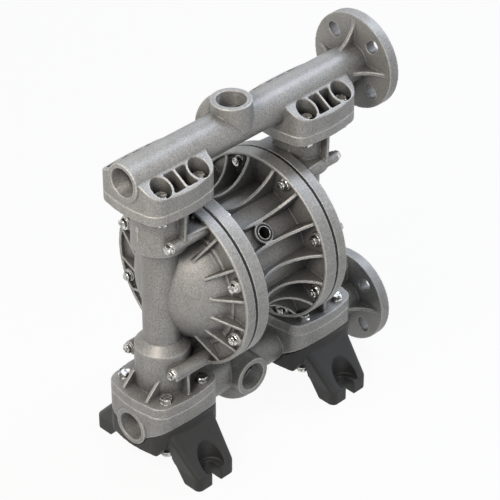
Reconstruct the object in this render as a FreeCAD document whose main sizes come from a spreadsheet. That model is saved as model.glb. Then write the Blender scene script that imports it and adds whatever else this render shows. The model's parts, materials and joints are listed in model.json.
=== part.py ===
"""Air operated double diaphragm pump: cast aluminium, 1 1/2 inch ports, flanged manifolds.

The origin is on the floor, under the middle of the pump. +X runs along the pump shaft
towards the flanged ends of the manifolds, +Z is up and -Y is the front, where the air
inlet and the side port of the suction manifold are. All sizes are in millimetres.
"""
import FreeCAD, Part
import math
import os
import Sketcher

Vector = FreeCAD.Vector
Rotation = FreeCAD.Rotation
X_AXIS = Vector(1, 0, 0)
Z_AXIS = Vector(0, 0, 1)

doc = FreeCAD.newDocument("diaphragm_pump")
sheet = doc.addObject("Spreadsheet::Sheet", "Sizes")
nodes = []
rows = []


# Sizes

class Length:
    """A length that carries both its value and the sheet expression that gives it."""

    def __init__(self, value, text):
        self.value = float(value)
        self.text = text

    def __add__(self, other):
        other = as_length(other)
        return Length(self.value + other.value, f"({self.text} + {other.text})")

    def __sub__(self, other):
        other = as_length(other)
        return Length(self.value - other.value, f"({self.text} - {other.text})")

    def __mul__(self, other):
        other = as_length(other)
        return Length(self.value * other.value, f"({self.text} * {other.text})")

    def __truediv__(self, other):
        other = as_length(other)
        return Length(self.value / other.value, f"({self.text} / {other.text})")

    def __radd__(self, other):
        return as_length(other) + self

    def __rsub__(self, other):
        return as_length(other) - self

    def __rmul__(self, other):
        return as_length(other) * self

    def __neg__(self):
        return Length(-self.value, f"(0 - {self.text})")


def as_length(number):
    """A plain number as a Length, so that both can be mixed in a formula."""
    return number if isinstance(number, Length) else Length(number, repr(float(number)))


def root(amount):
    """Square root of a Length."""
    return Length(math.sqrt(amount.value), f"sqrt({amount.text})")


def size(alias, value, meaning):
    """One driving dimension: a row of the sheet with its name, value and meaning."""
    rows.append(alias)
    row = len(rows)
    sheet.set(f"A{row}", alias)
    sheet.set(f"B{row}", str(value))
    sheet.set(f"C{row}", meaning)
    sheet.setAlias(f"B{row}", alias)
    return Length(value, f"Sizes.{alias}")


# Heights and stations of the whole pump
axis_height = size("axis_height", 284.5, "pump axis above the floor")
upper_axis = size("upper_axis", 216.0, "discharge manifold axis above the pump axis")
lower_axis = size("lower_axis", 205.0, "suction manifold axis below the pump axis")
column_x = size("column_x", 140.6, "fluid column axis from the middle")
pad_drop = size("pad_drop", 36.5, "manifold axis to its pad face")

# Clamped rims of the diaphragms
rim_radius = size("rim_radius", 132.3, "outside of the rims")
rim_wall = size("rim_wall", 5.0, "thickness of the thin outer wall of a rim")
diaphragm_x = size("diaphragm_x", 81.5, "diaphragm middle plane from the middle")
diaphragm_thick = size("diaphragm_thick", 4.0, "diaphragm sheet thickness")
diaphragm_inset = size("diaphragm_inset", 0.3, "diaphragm edge inside the rim edge")
fluid_rim_width = size("fluid_rim_width", 17.0, "width of the rim on the fluid side")
air_rim_width = size("air_rim_width", 21.8, "width of the rim on the air side")
fluid_web_thick = size("fluid_web_thick", 10.0, "clamping web on the fluid side")
air_web_thick = size("air_web_thick", 15.0, "clamping web on the air side")
clamp_inner_radius = size("clamp_inner_radius", 93.0, "inner edge of the clamped ring")
ring_bolt_circle = size("ring_bolt_circle", 118.0, "radius of the ring bolt circle")
ring_bolt_count = 8
rib_count = 16
ring_boss_height = size("ring_boss_height", 9.5, "height of a ring bolt boss")
ring_boss_radius = size("ring_boss_radius", 9.8, "radius of a ring bolt boss")
nut_boss_height = size("nut_boss_height", 4.0, "height of a boss under a ring nut")
long_boss_radius = size("long_boss_radius", 9.0, "radius of a long boss")
long_boss_end = size("long_boss_end", 164.0, "end of the long bosses beside the column")
shelf_top = size("shelf_top", 118.6, "shelf between rim and column above the pump axis")
shelf_bottom = size("shelf_bottom", 106.0, "underside of that shelf above the pump axis")
shelf_half_rim = size("shelf_half_rim", 54.5, "half width of the shelf at the rim")
shelf_half_column = size("shelf_half_column", 48.5, "half width of the shelf at the column")
bar_bottom = size("bar_bottom", 119.5, "underside of the lower bars below the pump axis")
bar_top = size("bar_top", 106.0, "top of the lower bars below the pump axis")
bar_inner = size("bar_inner", 37.0, "inner side of a lower bar")
bar_outer = size("bar_outer", 53.6, "outer side of a lower bar")

# Fluid cap
dome_radius = size("dome_radius", 103.1, "outside sphere of the dome")
dome_centre_x = size("dome_centre_x", 51.9, "centre of the dome sphere")
dome_wall = size("dome_wall", 6.0, "wall of the dome")
dome_step_radius = size("dome_step_radius", 101.0, "step ring around the dome")
dome_step_height = size("dome_step_height", 3.5, "height of that step ring")
fin_thick = size("fin_thick", 4.4, "thickness of a dome fin")
fin_foot_radius = size("fin_foot_radius", 77.0, "where a fin meets the dome")
column_radius = size("column_radius", 27.8, "outside of the fluid column")
column_bore = size("column_bore", 20.0, "bore of the fluid column")
housing_radius = size("housing_radius", 41.0, "outside of a valve housing")
housing_reach = size("housing_reach", 87.0, "valve housings start this far from the pump axis")
housing_cone = size("housing_cone", 13.0, "height of the cone under the lower housing")
flange_half_x = size("flange_half_x", 66.0, "half length of a column flange")
flange_half_y = size("flange_half_y", 63.0, "half width of a column flange")
flange_corner = size("flange_corner", 28.0, "corner radius of a column flange")
flange_crown = size("flange_crown", 4.0, "bulge of the sides of a column flange")
flange_thick = size("flange_thick", 16.0, "thickness of a column flange")
gusset_thick = size("gusset_thick", 5.0, "thickness of a flange gusset")
gusset_height = size("gusset_height", 26.0, "height of a flange gusset")
gusset_offset = size("gusset_offset", 24.0, "outer gussets from the column plane")

# Flange bolts
pad_bolt_x = size("pad_bolt_x", 35.2, "pad bolts from the column axis, along X")
pad_bolt_y = size("pad_bolt_y", 43.0, "pad bolts from the column axis, along Y")
pad_bolt_radius = size("pad_bolt_radius", 5.0, "M10 pad bolt")
ring_bolt_radius = size("ring_bolt_radius", 4.0, "M8 ring bolt")
hole_clearance = size("hole_clearance", 0.5, "bolt hole larger than the bolt, on radius")
thread_clearance = size("thread_clearance", 0.05, "nut bore larger than the bolt, on radius")
ring_head_height = size("ring_head_height", 5.3, "M8 head")
ring_head_flats = size("ring_head_flats", 13.0, "M8 head and nut across flats")
ring_nut_height = size("ring_nut_height", 9.0, "M8 nut with its collar")
pad_head_height = size("pad_head_height", 6.4, "M10 head")
pad_head_flats = size("pad_head_flats", 17.0, "M10 head and nut across flats")
pad_nut_height = size("pad_nut_height", 9.5, "M10 nut with its collar")
collar_thick = size("collar_thick", 1.6, "round collar of a bolt head or a nut")
ring_collar_radius = size("ring_collar_radius", 8.0, "collar of an M8 head or nut")
pad_collar_radius = size("pad_collar_radius", 10.5, "collar of an M10 head or nut")
bolt_end = size("bolt_end", 2.0, "bolt end past its nut")

# Ball valves
chamber_radius = size("chamber_radius", 35.0, "bore of a valve chamber")
chamber_depth = size("chamber_depth", 83.0, "depth of a valve chamber from the flange face")
seat_thick = size("seat_thick", 10.0, "height of a valve seat")
seat_line_radius = size("seat_line_radius", 19.0, "circle where the ball closes")
ball_radius = size("ball_radius", 22.0, "valve ball")
ball_lift = size("ball_lift", 12.0, "travel of a valve ball")
ball_gap = size("ball_gap", 0.3, "gap kept between a ball and what stops it")
valve_fit = size("valve_fit", 0.1, "seat and cage smaller than the chamber, on radius")
cage_wall = size("cage_wall", 3.5, "wall of a ball cage")
cage_rib = size("cage_rib", 4.0, "thickness of a cage rib")
guide_gap = size("guide_gap", 0.6, "gap between a ball and its guide ribs")
cage_bar = size("cage_bar", 7.0, "height of the stop bars of a cage")
seat_bevel = size("seat_bevel", 2.0, "half width of the seat bevel")
ring_section = size("ring_section", 1.75, "half the section of a joint ring")
ring_room = size("ring_room", 0.05, "ring groove larger than the ring, on radius")
ring_line_radius = size("ring_line_radius", 39.5, "middle radius of a joint ring")

# Manifolds
pipe_radius = size("pipe_radius", 28.8, "outside of a manifold pipe")
pipe_bore = size("pipe_bore", 20.0, "bore of a manifold pipe")
near_end_x = size("near_end_x", 207.0, "plain end of a manifold from the middle")
flange_face_x = size("flange_face_x", 263.0, "flange face of a manifold from the middle")
pipe_flange_radius = size("pipe_flange_radius", 75.0, "pipe flange outside")
pipe_flange_thick = size("pipe_flange_thick", 17.0, "pipe flange thickness")
slot_inner = size("slot_inner", 49.2, "innermost bolt circle radius of a slot")
slot_outer = size("slot_outer", 55.0, "outermost bolt circle radius of a slot")
slot_radius = size("slot_radius", 9.0, "half width of a flange slot")
pipe_gusset_length = size("pipe_gusset_length", 32.0, "length of a pipe flange gusset")
pipe_gusset_curve = size("pipe_gusset_curve", 50.0, "hollow edge of a pipe flange gusset")
pipe_gusset_thick = size("pipe_gusset_thick", 6.0, "thickness of a pipe flange gusset")
pipe_gusset_margin = size("pipe_gusset_margin", 5.0, "gusset end inside the flange edge")
pad_edge_thick = size("pad_edge_thick", 23.5, "manifold pad thickness at its side edge")
pad_slope_end = size("pad_slope_end", 23.0, "where a pad's slope meets the pipe")
pad_slope_rise = size("pad_slope_rise", 24.0, "rise of a pad from its edge to the pipe")
pocket_radius = size("pocket_radius", 14.8, "bolt pocket in a pad")
pocket_floor = size("pocket_floor", 15.0, "pad thickness left under a bolt pocket")
core_wall = size("core_wall", 3.6, "thin walls between the cored pockets of a pad")
port_radius = size("port_radius", 28.0, "opening of a pad into its pipe")
socket_radius = size("socket_radius", 21.6, "threaded socket of a manifold")
socket_depth = size("socket_depth", 24.0, "depth of a threaded socket")
hub_radius = size("hub_radius", 30.2, "boss of a middle port")
port_bore = size("port_bore", 18.5, "bore of a middle port behind its thread")
hub_reach = size("hub_reach", 42.7, "end of a middle port boss from the manifold axis")

# Middle housing
barrel_flat = size("barrel_flat", 84.0, "flats of the barrel from the pump axis")
rib_thick = size("rib_thick", 5.0, "thickness of a barrel rib")
rib_waist = size("rib_waist", 94.0, "lowest radius of a rib edge")
wall_half = size("wall_half", 46.0, "half thickness of the middle wall")
chamber_floor_radius = size("chamber_floor_radius", 70.0, "flat floor of an air chamber")
chamber_neck_radius = size("chamber_neck_radius", 80.0, "air chamber where the web starts")
inlet_boss_radius = size("inlet_boss_radius", 15.5, "boss of the air inlet")
inlet_boss_top = size("inlet_boss_top", 92.0, "end of the air inlet boss from the pump axis")
inlet_radius = size("inlet_radius", 10.0, "threaded air inlet")
inlet_depth = size("inlet_depth", 20.0, "depth of the air inlet thread")
exhaust_radius = size("exhaust_radius", 8.0, "threaded exhaust")

static_fit = size("static_fit", 0.02, "clearance of parts set in a bore, on radius")

# Shaft and plates
shaft_radius = size("shaft_radius", 10.0, "diaphragm shaft")
stud_radius = size("stud_radius", 6.0, "threaded ends of the shaft")
stroke = size("stroke", 20.0, "shaft travel each way from the middle")
running_fit = size("running_fit", 0.03, "running clearance on radius")
bush_radius = size("bush_radius", 14.0, "outside of the shaft bushes")
bush_inner_end = size("bush_inner_end", 18.0, "inner end of a shaft bush")
bush_length = size("bush_length", 20.0, "length of a shaft bush")
seal_length = size("seal_length", 5.0, "length of a shaft seal")
inner_plate_radius = size("inner_plate_radius", 66.0, "inner diaphragm plate")
inner_plate_thick = size("inner_plate_thick", 10.0, "hub thickness of the inner plate")
outer_plate_radius = size("outer_plate_radius", 62.0, "outer diaphragm plate")
outer_plate_thick = size("outer_plate_thick", 14.0, "hub thickness of the outer plate")
plate_edge = size("plate_edge", 4.0, "edge thickness of the plates")
convolution = size("convolution", 9.0, "height of the diaphragm convolution")

# Air valve
valve_y = size("valve_y", 44.0, "air valve axis behind the pump axis")
sleeve_radius = size("sleeve_radius", 15.0, "air valve sleeve outside")
spool_radius = size("spool_radius", 9.0, "air valve spool lands")
spool_neck = size("spool_neck", 5.5, "air valve spool between its lands")
spool_half = size("spool_half", 30.0, "half length of the spool")
land_width = size("land_width", 9.0, "width of a spool land")
plug_thick = size("plug_thick", 5.0, "thickness of a valve end plug")
pilot_z = size("pilot_z", 34.0, "pilot pins above the pump axis")
pilot_radius = size("pilot_radius", 3.0, "pilot pin")
pilot_length = size("pilot_length", 40.0, "length of a pilot pin")

# Feet
foot_half_x = size("foot_half_x", 36.5, "half width of a foot leg at its sole")
foot_root_x = size("foot_root_x", 45.0, "half width of a foot leg at its root")
foot_root_inner = size("foot_root_inner", 21.6, "inner end of a foot leg at its root")
foot_root_outer = size("foot_root_outer", 61.0, "outer end of a foot leg at its root")
foot_corner = size("foot_corner", 10.0, "corner radius of a foot leg")
foot_reach = size("foot_reach", 110.0, "end of a foot leg from the middle plane")
foot_heel = size("foot_heel", 62.0, "inner side of a leg at the height of its end face")
foot_end_height = size("foot_end_height", 23.0, "height of a foot's end face")
foot_sole_start = size("foot_sole_start", 79.0, "inner end of a foot's sole")
saddle_bottom = size("saddle_bottom", 45.0, "underside of a saddle above the floor")
saddle_side = size("saddle_side", 14.0, "height of a saddle's side face")
saddle_keel = size("saddle_keel", 46.0, "half width of a saddle's flat underside")
notch_radius = size("notch_radius", 8.5, "half width of a foot notch")
notch_centre = size("notch_centre", 92.0, "inner arc of a foot notch")
scoop_radius = size("scoop_radius", 20.0, "scoop for the bolt head in a foot")
scoop_centre = size("scoop_centre", 98.0, "scoop axis from the middle plane")
nut_pocket_radius = size("nut_pocket_radius", 12.5, "nut pocket under a foot")

foot_clearance = size("foot_clearance", 0.3, "gap between a foot and the pipe")

# Silencer
silencer_radius = size("silencer_radius", 12.0, "exhaust silencer body")
silencer_length = size("silencer_length", 38.0, "exhaust silencer outside its boss")
silencer_thread = size("silencer_thread", 12.0, "depth of the silencer thread")

# Derived places
fluid_face_x = diaphragm_x + diaphragm_thick / 2
air_face_x = diaphragm_x - diaphragm_thick / 2
fluid_rim_end = fluid_face_x + fluid_rim_width
air_rim_end = air_face_x - air_rim_width
fluid_web_end = fluid_face_x + fluid_web_thick
air_web_end = air_face_x - air_web_thick
rim_inner = rim_radius - rim_wall
upper_pad_z = upper_axis - pad_drop
lower_pad_z = lower_axis - pad_drop
upper_floor_z = upper_pad_z - chamber_depth
lower_roof_z = lower_pad_z - chamber_depth
HALF_BAY = 180.0 / rib_count


# Building blocks

def origin_feature(body, role):
    """An origin plane or axis of a body, found by its role."""
    return [item for item in body.Origin.OriginFeatures if item.Role == role][0]


def new_body(label, place=(0, 0, axis_height), turn=(Z_AXIS, 0.0)):
    """A sub-part: a body whose placement follows the sheet."""
    body = doc.addObject("PartDesign::Body", label)
    body.Label = label
    place_object(body, place, turn)
    nodes.append(body)
    return body


def place_object(item, place, turn=(Z_AXIS, 0.0)):
    """Put an object at a place given by three lengths and turn it about an axis."""
    place = [as_length(value) for value in place]
    item.Placement = FreeCAD.Placement(
        Vector(*[value.value for value in place]), Rotation(turn[0], turn[1]))
    for letter, value in zip("xyz", place):
        if value.text.startswith("Sizes") or value.text.startswith("("):
            item.setExpression(f"Placement.Base.{letter}", value.text)


def sketch(body, name, plane, loops, shift=(0, 0, 0), turn=(Z_AXIS, 0.0)):
    """A sketch on an origin plane whose points all follow the sheet.

    A loop is either ("circle", x, y, radius) or a list of corners. A corner is (x, y)
    where a straight edge follows, or (x, y, radius) where an arc follows: a positive
    radius turns to the left, a negative one to the right. shift moves the sketch along
    the plane's own axes, and turn tilts it about the shifted origin.
    """
    item = body.newObject("Sketcher::SketchObject", name)
    item.AttachmentSupport = [(origin_feature(body, plane), "")]
    item.MapMode = "FlatFace"
    shift = [as_length(value) for value in shift]
    item.AttachmentOffset = FreeCAD.Placement(
        Vector(*[value.value for value in shift]), Rotation(turn[0], turn[1]))
    for letter, value in zip("xyz", shift):
        if "Sizes" in value.text:
            item.setExpression(f"AttachmentOffset.Base.{letter}", value.text)
    for loop in loops:
        if loop[0] == "circle":
            add_circle(item, *loop[1:])
        else:
            add_loop(item, loop)
    return item


def bind(item, index, value):
    """Tie one constraint of a sketch to the sheet."""
    if "Sizes" in value.text:
        item.setExpression(f"Constraints[{index}]", value.text)


def add_circle(item, x, y, radius):
    """A circle placed and sized by constraints."""
    x, y, radius = as_length(x), as_length(y), as_length(radius)
    edge = item.addGeometry(
        Part.Circle(Vector(x.value, y.value, 0), Z_AXIS, radius.value), False)
    for kind, value in (("DistanceX", x), ("DistanceY", y)):
        bind(item, item.addConstraint(
            Sketcher.Constraint(kind, -1, 1, edge, 3, value.value)), value)
    bind(item, item.addConstraint(
        Sketcher.Constraint("Radius", edge, radius.value)), radius)


def short_arc(start, end, radius):
    """The arc of under half a turn from start to end, drawn anticlockwise.

    A positive radius has its centre on the left of the way from start to end.
    """
    chord = end - start
    half = chord.Length / 2
    rise = math.sqrt(max(radius * radius - half * half, 0.0))
    left = Vector(-chord.y, chord.x, 0).normalize()
    centre = (start + end) * 0.5 + left * (rise if radius > 0 else -rise)
    first, last = (start, end) if radius > 0 else (end, start)
    begin = math.atan2(first.y - centre.y, first.x - centre.x)
    finish = math.atan2(last.y - centre.y, last.x - centre.x)
    if finish < begin:
        finish += 2 * math.pi
    return Part.ArcOfCircle(Part.Circle(centre, Z_AXIS, abs(radius)), begin, finish)


def add_loop(item, corners):
    """A closed outline of straight edges and arcs, fully tied to the sheet."""
    count = len(corners)
    corners = [[as_length(value) for value in corner] for corner in corners]
    points = [Vector(corner[0].value, corner[1].value, 0) for corner in corners]
    first = item.GeometryCount
    edges = []
    starts = []
    for index, corner in enumerate(corners):
        start, end = points[index], points[(index + 1) % count]
        if len(corner) == 2:
            edges.append(Part.LineSegment(start, end))
            starts.append((1, 2))
            continue
        edges.append(short_arc(start, end, corner[2].value))
        starts.append((1, 2) if corner[2].value > 0 else (2, 1))
    item.addGeometry(edges, False)
    for index, corner in enumerate(corners):
        edge = first + index
        following = first + (index + 1) % count
        begin, finish = starts[index]
        item.addConstraint(Sketcher.Constraint(
            "Coincident", edge, finish, following, starts[(index + 1) % count][0]))
        for kind, value in (("DistanceX", corner[0]), ("DistanceY", corner[1])):
            bind(item, item.addConstraint(
                Sketcher.Constraint(kind, -1, 1, edge, begin, value.value)), value)
        if len(corner) == 3:
            radius = corner[2] if corner[2].value > 0 else -corner[2]
            bind(item, item.addConstraint(
                Sketcher.Constraint("Radius", edge, radius.value)), radius)


def set_length(feature, name, value):
    """Give a feature's length property a value that follows the sheet."""
    value = as_length(value)
    setattr(feature, name, value.value)
    if "Sizes" in value.text:
        feature.setExpression(name, value.text)


def pad(body, name, profile, length, middle=False, back=False):
    """Add material: the profile pushed along its normal, both ways where middle is set."""
    feature = body.newObject("PartDesign::Pad", name)
    feature.Profile = profile
    feature.Midplane = middle
    feature.Reversed = back
    set_length(feature, "Length", length)
    return feature


def pocket(body, name, profile, length, middle=False, back=False):
    """Take material away, against the profile's normal unless back is set."""
    feature = body.newObject("PartDesign::Pocket", name)
    feature.Profile = profile
    feature.Midplane = middle
    feature.Reversed = back
    set_length(feature, "Length", length)
    return feature


def revolve(body, name, profile, axis="H_Axis"):
    """Add a full turn of a profile about one of its sketch axes."""
    feature = body.newObject("PartDesign::Revolution", name)
    feature.Profile = profile
    feature.ReferenceAxis = (profile, [axis])
    feature.Angle = 360.0
    return feature


def loft(body, name, first, last):
    """Add straight sided material between two profiles."""
    feature = body.newObject("PartDesign::AdditiveLoft", name)
    feature.Profile = first
    feature.Sections = [last]
    feature.Ruled = True
    return feature


def groove(body, name, profile, axis="H_Axis"):
    """Cut a full turn of a profile about one of its sketch axes."""
    feature = body.newObject("PartDesign::Groove", name)
    feature.Profile = profile
    feature.ReferenceAxis = (profile, [axis])
    feature.Angle = 360.0
    return feature


def around(body, name, features, count, axis="X_Axis"):
    """Repeat features evenly about an origin axis of the body."""
    feature = body.newObject("PartDesign::PolarPattern", name)
    feature.Originals = features
    feature.Axis = (origin_feature(body, axis), [""])
    feature.Angle = 360.0
    feature.Occurrences = count
    body.Tip = feature
    return feature


def mirrored(body, name, features, plane):
    """Repeat features on the other side of an origin plane of the body."""
    feature = body.newObject("PartDesign::Mirrored", name)
    feature.Originals = features
    feature.MirrorPlane = (origin_feature(body, plane), [""])
    body.Tip = feature
    return feature


def rectangle(x0, y0, x1, y1):
    """A rectangular loop."""
    return [(x0, y0), (x1, y0), (x1, y1), (x0, y1)]


def pad_outline():
    """Plan of a column flange: a rounded square whose four sides bulge a little."""
    side_x = flange_half_x - flange_crown
    side_y = flange_half_y - flange_crown
    end_x = flange_half_x - flange_corner
    end_y = flange_half_y - flange_corner
    bulge_x = (end_y * end_y + flange_crown * flange_crown) / (2 * flange_crown)
    bulge_y = (end_x * end_x + flange_crown * flange_crown) / (2 * flange_crown)
    corner = flange_corner - flange_crown
    return [
        (side_x, -end_y, bulge_x), (side_x, end_y, corner),
        (end_x, side_y, bulge_y), (-end_x, side_y, corner),
        (-side_x, end_y, bulge_x), (-side_x, -end_y, corner),
        (-end_x, -side_y, bulge_y), (end_x, -side_y, corner),
    ]


def pad_bolt_holes(radius):
    """The four bolt places of a column flange."""
    return [("circle", sx * pad_bolt_x, sy * pad_bolt_y, radius)
            for sx in (-1, 1) for sy in (-1, 1)]


def slot(x0, x1, radius):
    """A slot along the sketch's first axis, from arc centre x0 to arc centre x1."""
    return [
        (x0, -radius), (x1, -radius, radius), (x1 + radius, 0, radius),
        (x1, radius), (x0, radius, radius), (x0 - radius, 0, radius),
    ]


def hexagon(x, y, flats):
    """A hexagon with the given width across its flats."""
    reach = flats / math.sqrt(3.0)
    return [(x + reach * math.cos(math.radians(60 * k)),
             y + reach * math.sin(math.radians(60 * k))) for k in range(6)]


def ring_place(angle, radius=ring_bolt_circle):
    """A point on a circle about the pump axis, by its angle from the top."""
    turn = math.radians(angle)
    return radius * math.sin(turn), radius * math.cos(turn)


def dome_x(radius, sphere):
    """Where a sphere about the dome centre has the given distance from the pump axis."""
    return dome_centre_x + root(sphere * sphere - radius * radius)


RING_ANGLES = [HALF_BAY * 2 + 45.0 * k for k in range(ring_bolt_count)]
LONG_ANGLES = [RING_ANGLES[k] for k in (0, 3, 4, 7)]
SHORT_ANGLES = [RING_ANGLES[k] for k in (1, 2, 5, 6)]
SIDES = {"left": -1, "right": 1}
FACING = {"left": (Z_AXIS, 180.0), "right": (Z_AXIS, 0.0)}


def cut_ring_holes(body, reach):
    """The ring bolt holes of one body, from the middle out to a distance along X."""
    plan = sketch(body, "ring_holes_plan", "YZ_Plane",
                  [("circle", *ring_place(angle), ring_bolt_radius + hole_clearance)
                   for angle in RING_ANGLES])
    pocket(body, "ring_holes", plan, (reach + 1) * 2, middle=True)


# Middle housing: the barrel with its ribs and both air side rims

def make_center_housing():
    body = new_body("center_housing")
    corner = barrel_flat / math.cos(math.radians(HALF_BAY))
    flats = [ring_place(HALF_BAY * (2 * k + 1), corner) for k in range(rib_count)]
    pad(body, "barrel", sketch(body, "barrel_plan", "YZ_Plane", [flats]),
        air_web_end * 2, middle=True)
    rim = sketch(body, "rim_section", "XY_Plane", [[
        (air_web_end, 0), (air_face_x, 0), (air_face_x, rim_radius),
        (air_rim_end, rim_radius), (air_rim_end, rim_inner), (air_web_end, rim_inner)]])
    mirrored(body, "other_rim", [revolve(body, "rim", rim)], "YZ_Plane")
    hollow = rim_inner - rib_waist
    edge = (air_rim_end * air_rim_end + hollow * hollow) / (2 * hollow)
    rib = sketch(body, "rib_section", "XZ_Plane", [[
        (-air_web_end, barrel_flat - rib_thick), (air_web_end, barrel_flat - rib_thick),
        (air_web_end, rim_inner), (air_rim_end, rim_inner, -edge),
        (-air_rim_end, rim_inner), (-air_web_end, rim_inner)]],
        turn=(X_AXIS, HALF_BAY))
    around(body, "ribs", [pad(body, "rib", rib, rib_thick, middle=True)], rib_count)
    bosses = sketch(body, "nut_bosses_plan", "YZ_Plane",
                    [("circle", *ring_place(angle), ring_boss_radius)
                     for angle in RING_ANGLES], shift=(0, 0, air_web_end))
    mirrored(body, "other_nut_bosses", [
        pad(body, "nut_bosses", bosses, nut_boss_height, back=True)], "YZ_Plane")
    for name, angle in (("inlet", 45.0), ("exhaust", 225.0)):
        boss = sketch(body, name + "_boss_plan", "XY_Plane",
                      [("circle", 0, 0, inlet_boss_radius)], turn=(X_AXIS, angle))
        pad(body, name + "_boss", boss, inlet_boss_top)
    chamber = sketch(body, "chamber_section", "XY_Plane", [[
        (wall_half, 0), (wall_half, chamber_floor_radius),
        (air_web_end, chamber_neck_radius), (air_face_x, clamp_inner_radius),
        (air_face_x + 1, clamp_inner_radius), (air_face_x + 1, 0)]])
    mirrored(body, "other_chamber", [groove(body, "chamber", chamber)], "YZ_Plane")
    bore = sketch(body, "shaft_bore_section", "XY_Plane", [[
        (-wall_half - 1, 0), (-wall_half - 1, bush_radius),
        (-bush_inner_end, bush_radius), (-bush_inner_end, shaft_radius + 1),
        (bush_inner_end, shaft_radius + 1), (bush_inner_end, bush_radius),
        (wall_half + 1, bush_radius), (wall_half + 1, 0)]])
    groove(body, "shaft_bore", bore)
    bores = sketch(body, "valve_bores_plan", "YZ_Plane", [
        ("circle", valve_y, 0, sleeve_radius),
        ("circle", 0, pilot_z, pilot_radius + running_fit)])
    pocket(body, "valve_bores", bores, (wall_half + 1) * 2, middle=True)
    cut_ring_holes(body, air_face_x)
    for name, angle, radius, depth in (
            ("inlet", 45.0, inlet_radius, inlet_depth),
            ("exhaust", 225.0, exhaust_radius, inlet_depth)):
        turn = math.radians(angle)
        mouth = sketch(body, name + "_plan", "XY_Plane", [("circle", 0, 0, radius)],
                       shift=(0, -inlet_boss_top * math.sin(turn),
                              inlet_boss_top * math.cos(turn)),
                       turn=(X_AXIS, angle))
        pocket(body, name, mouth, depth)


# Fluid caps: dome, column, valve housings and flanges in one casting

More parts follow.
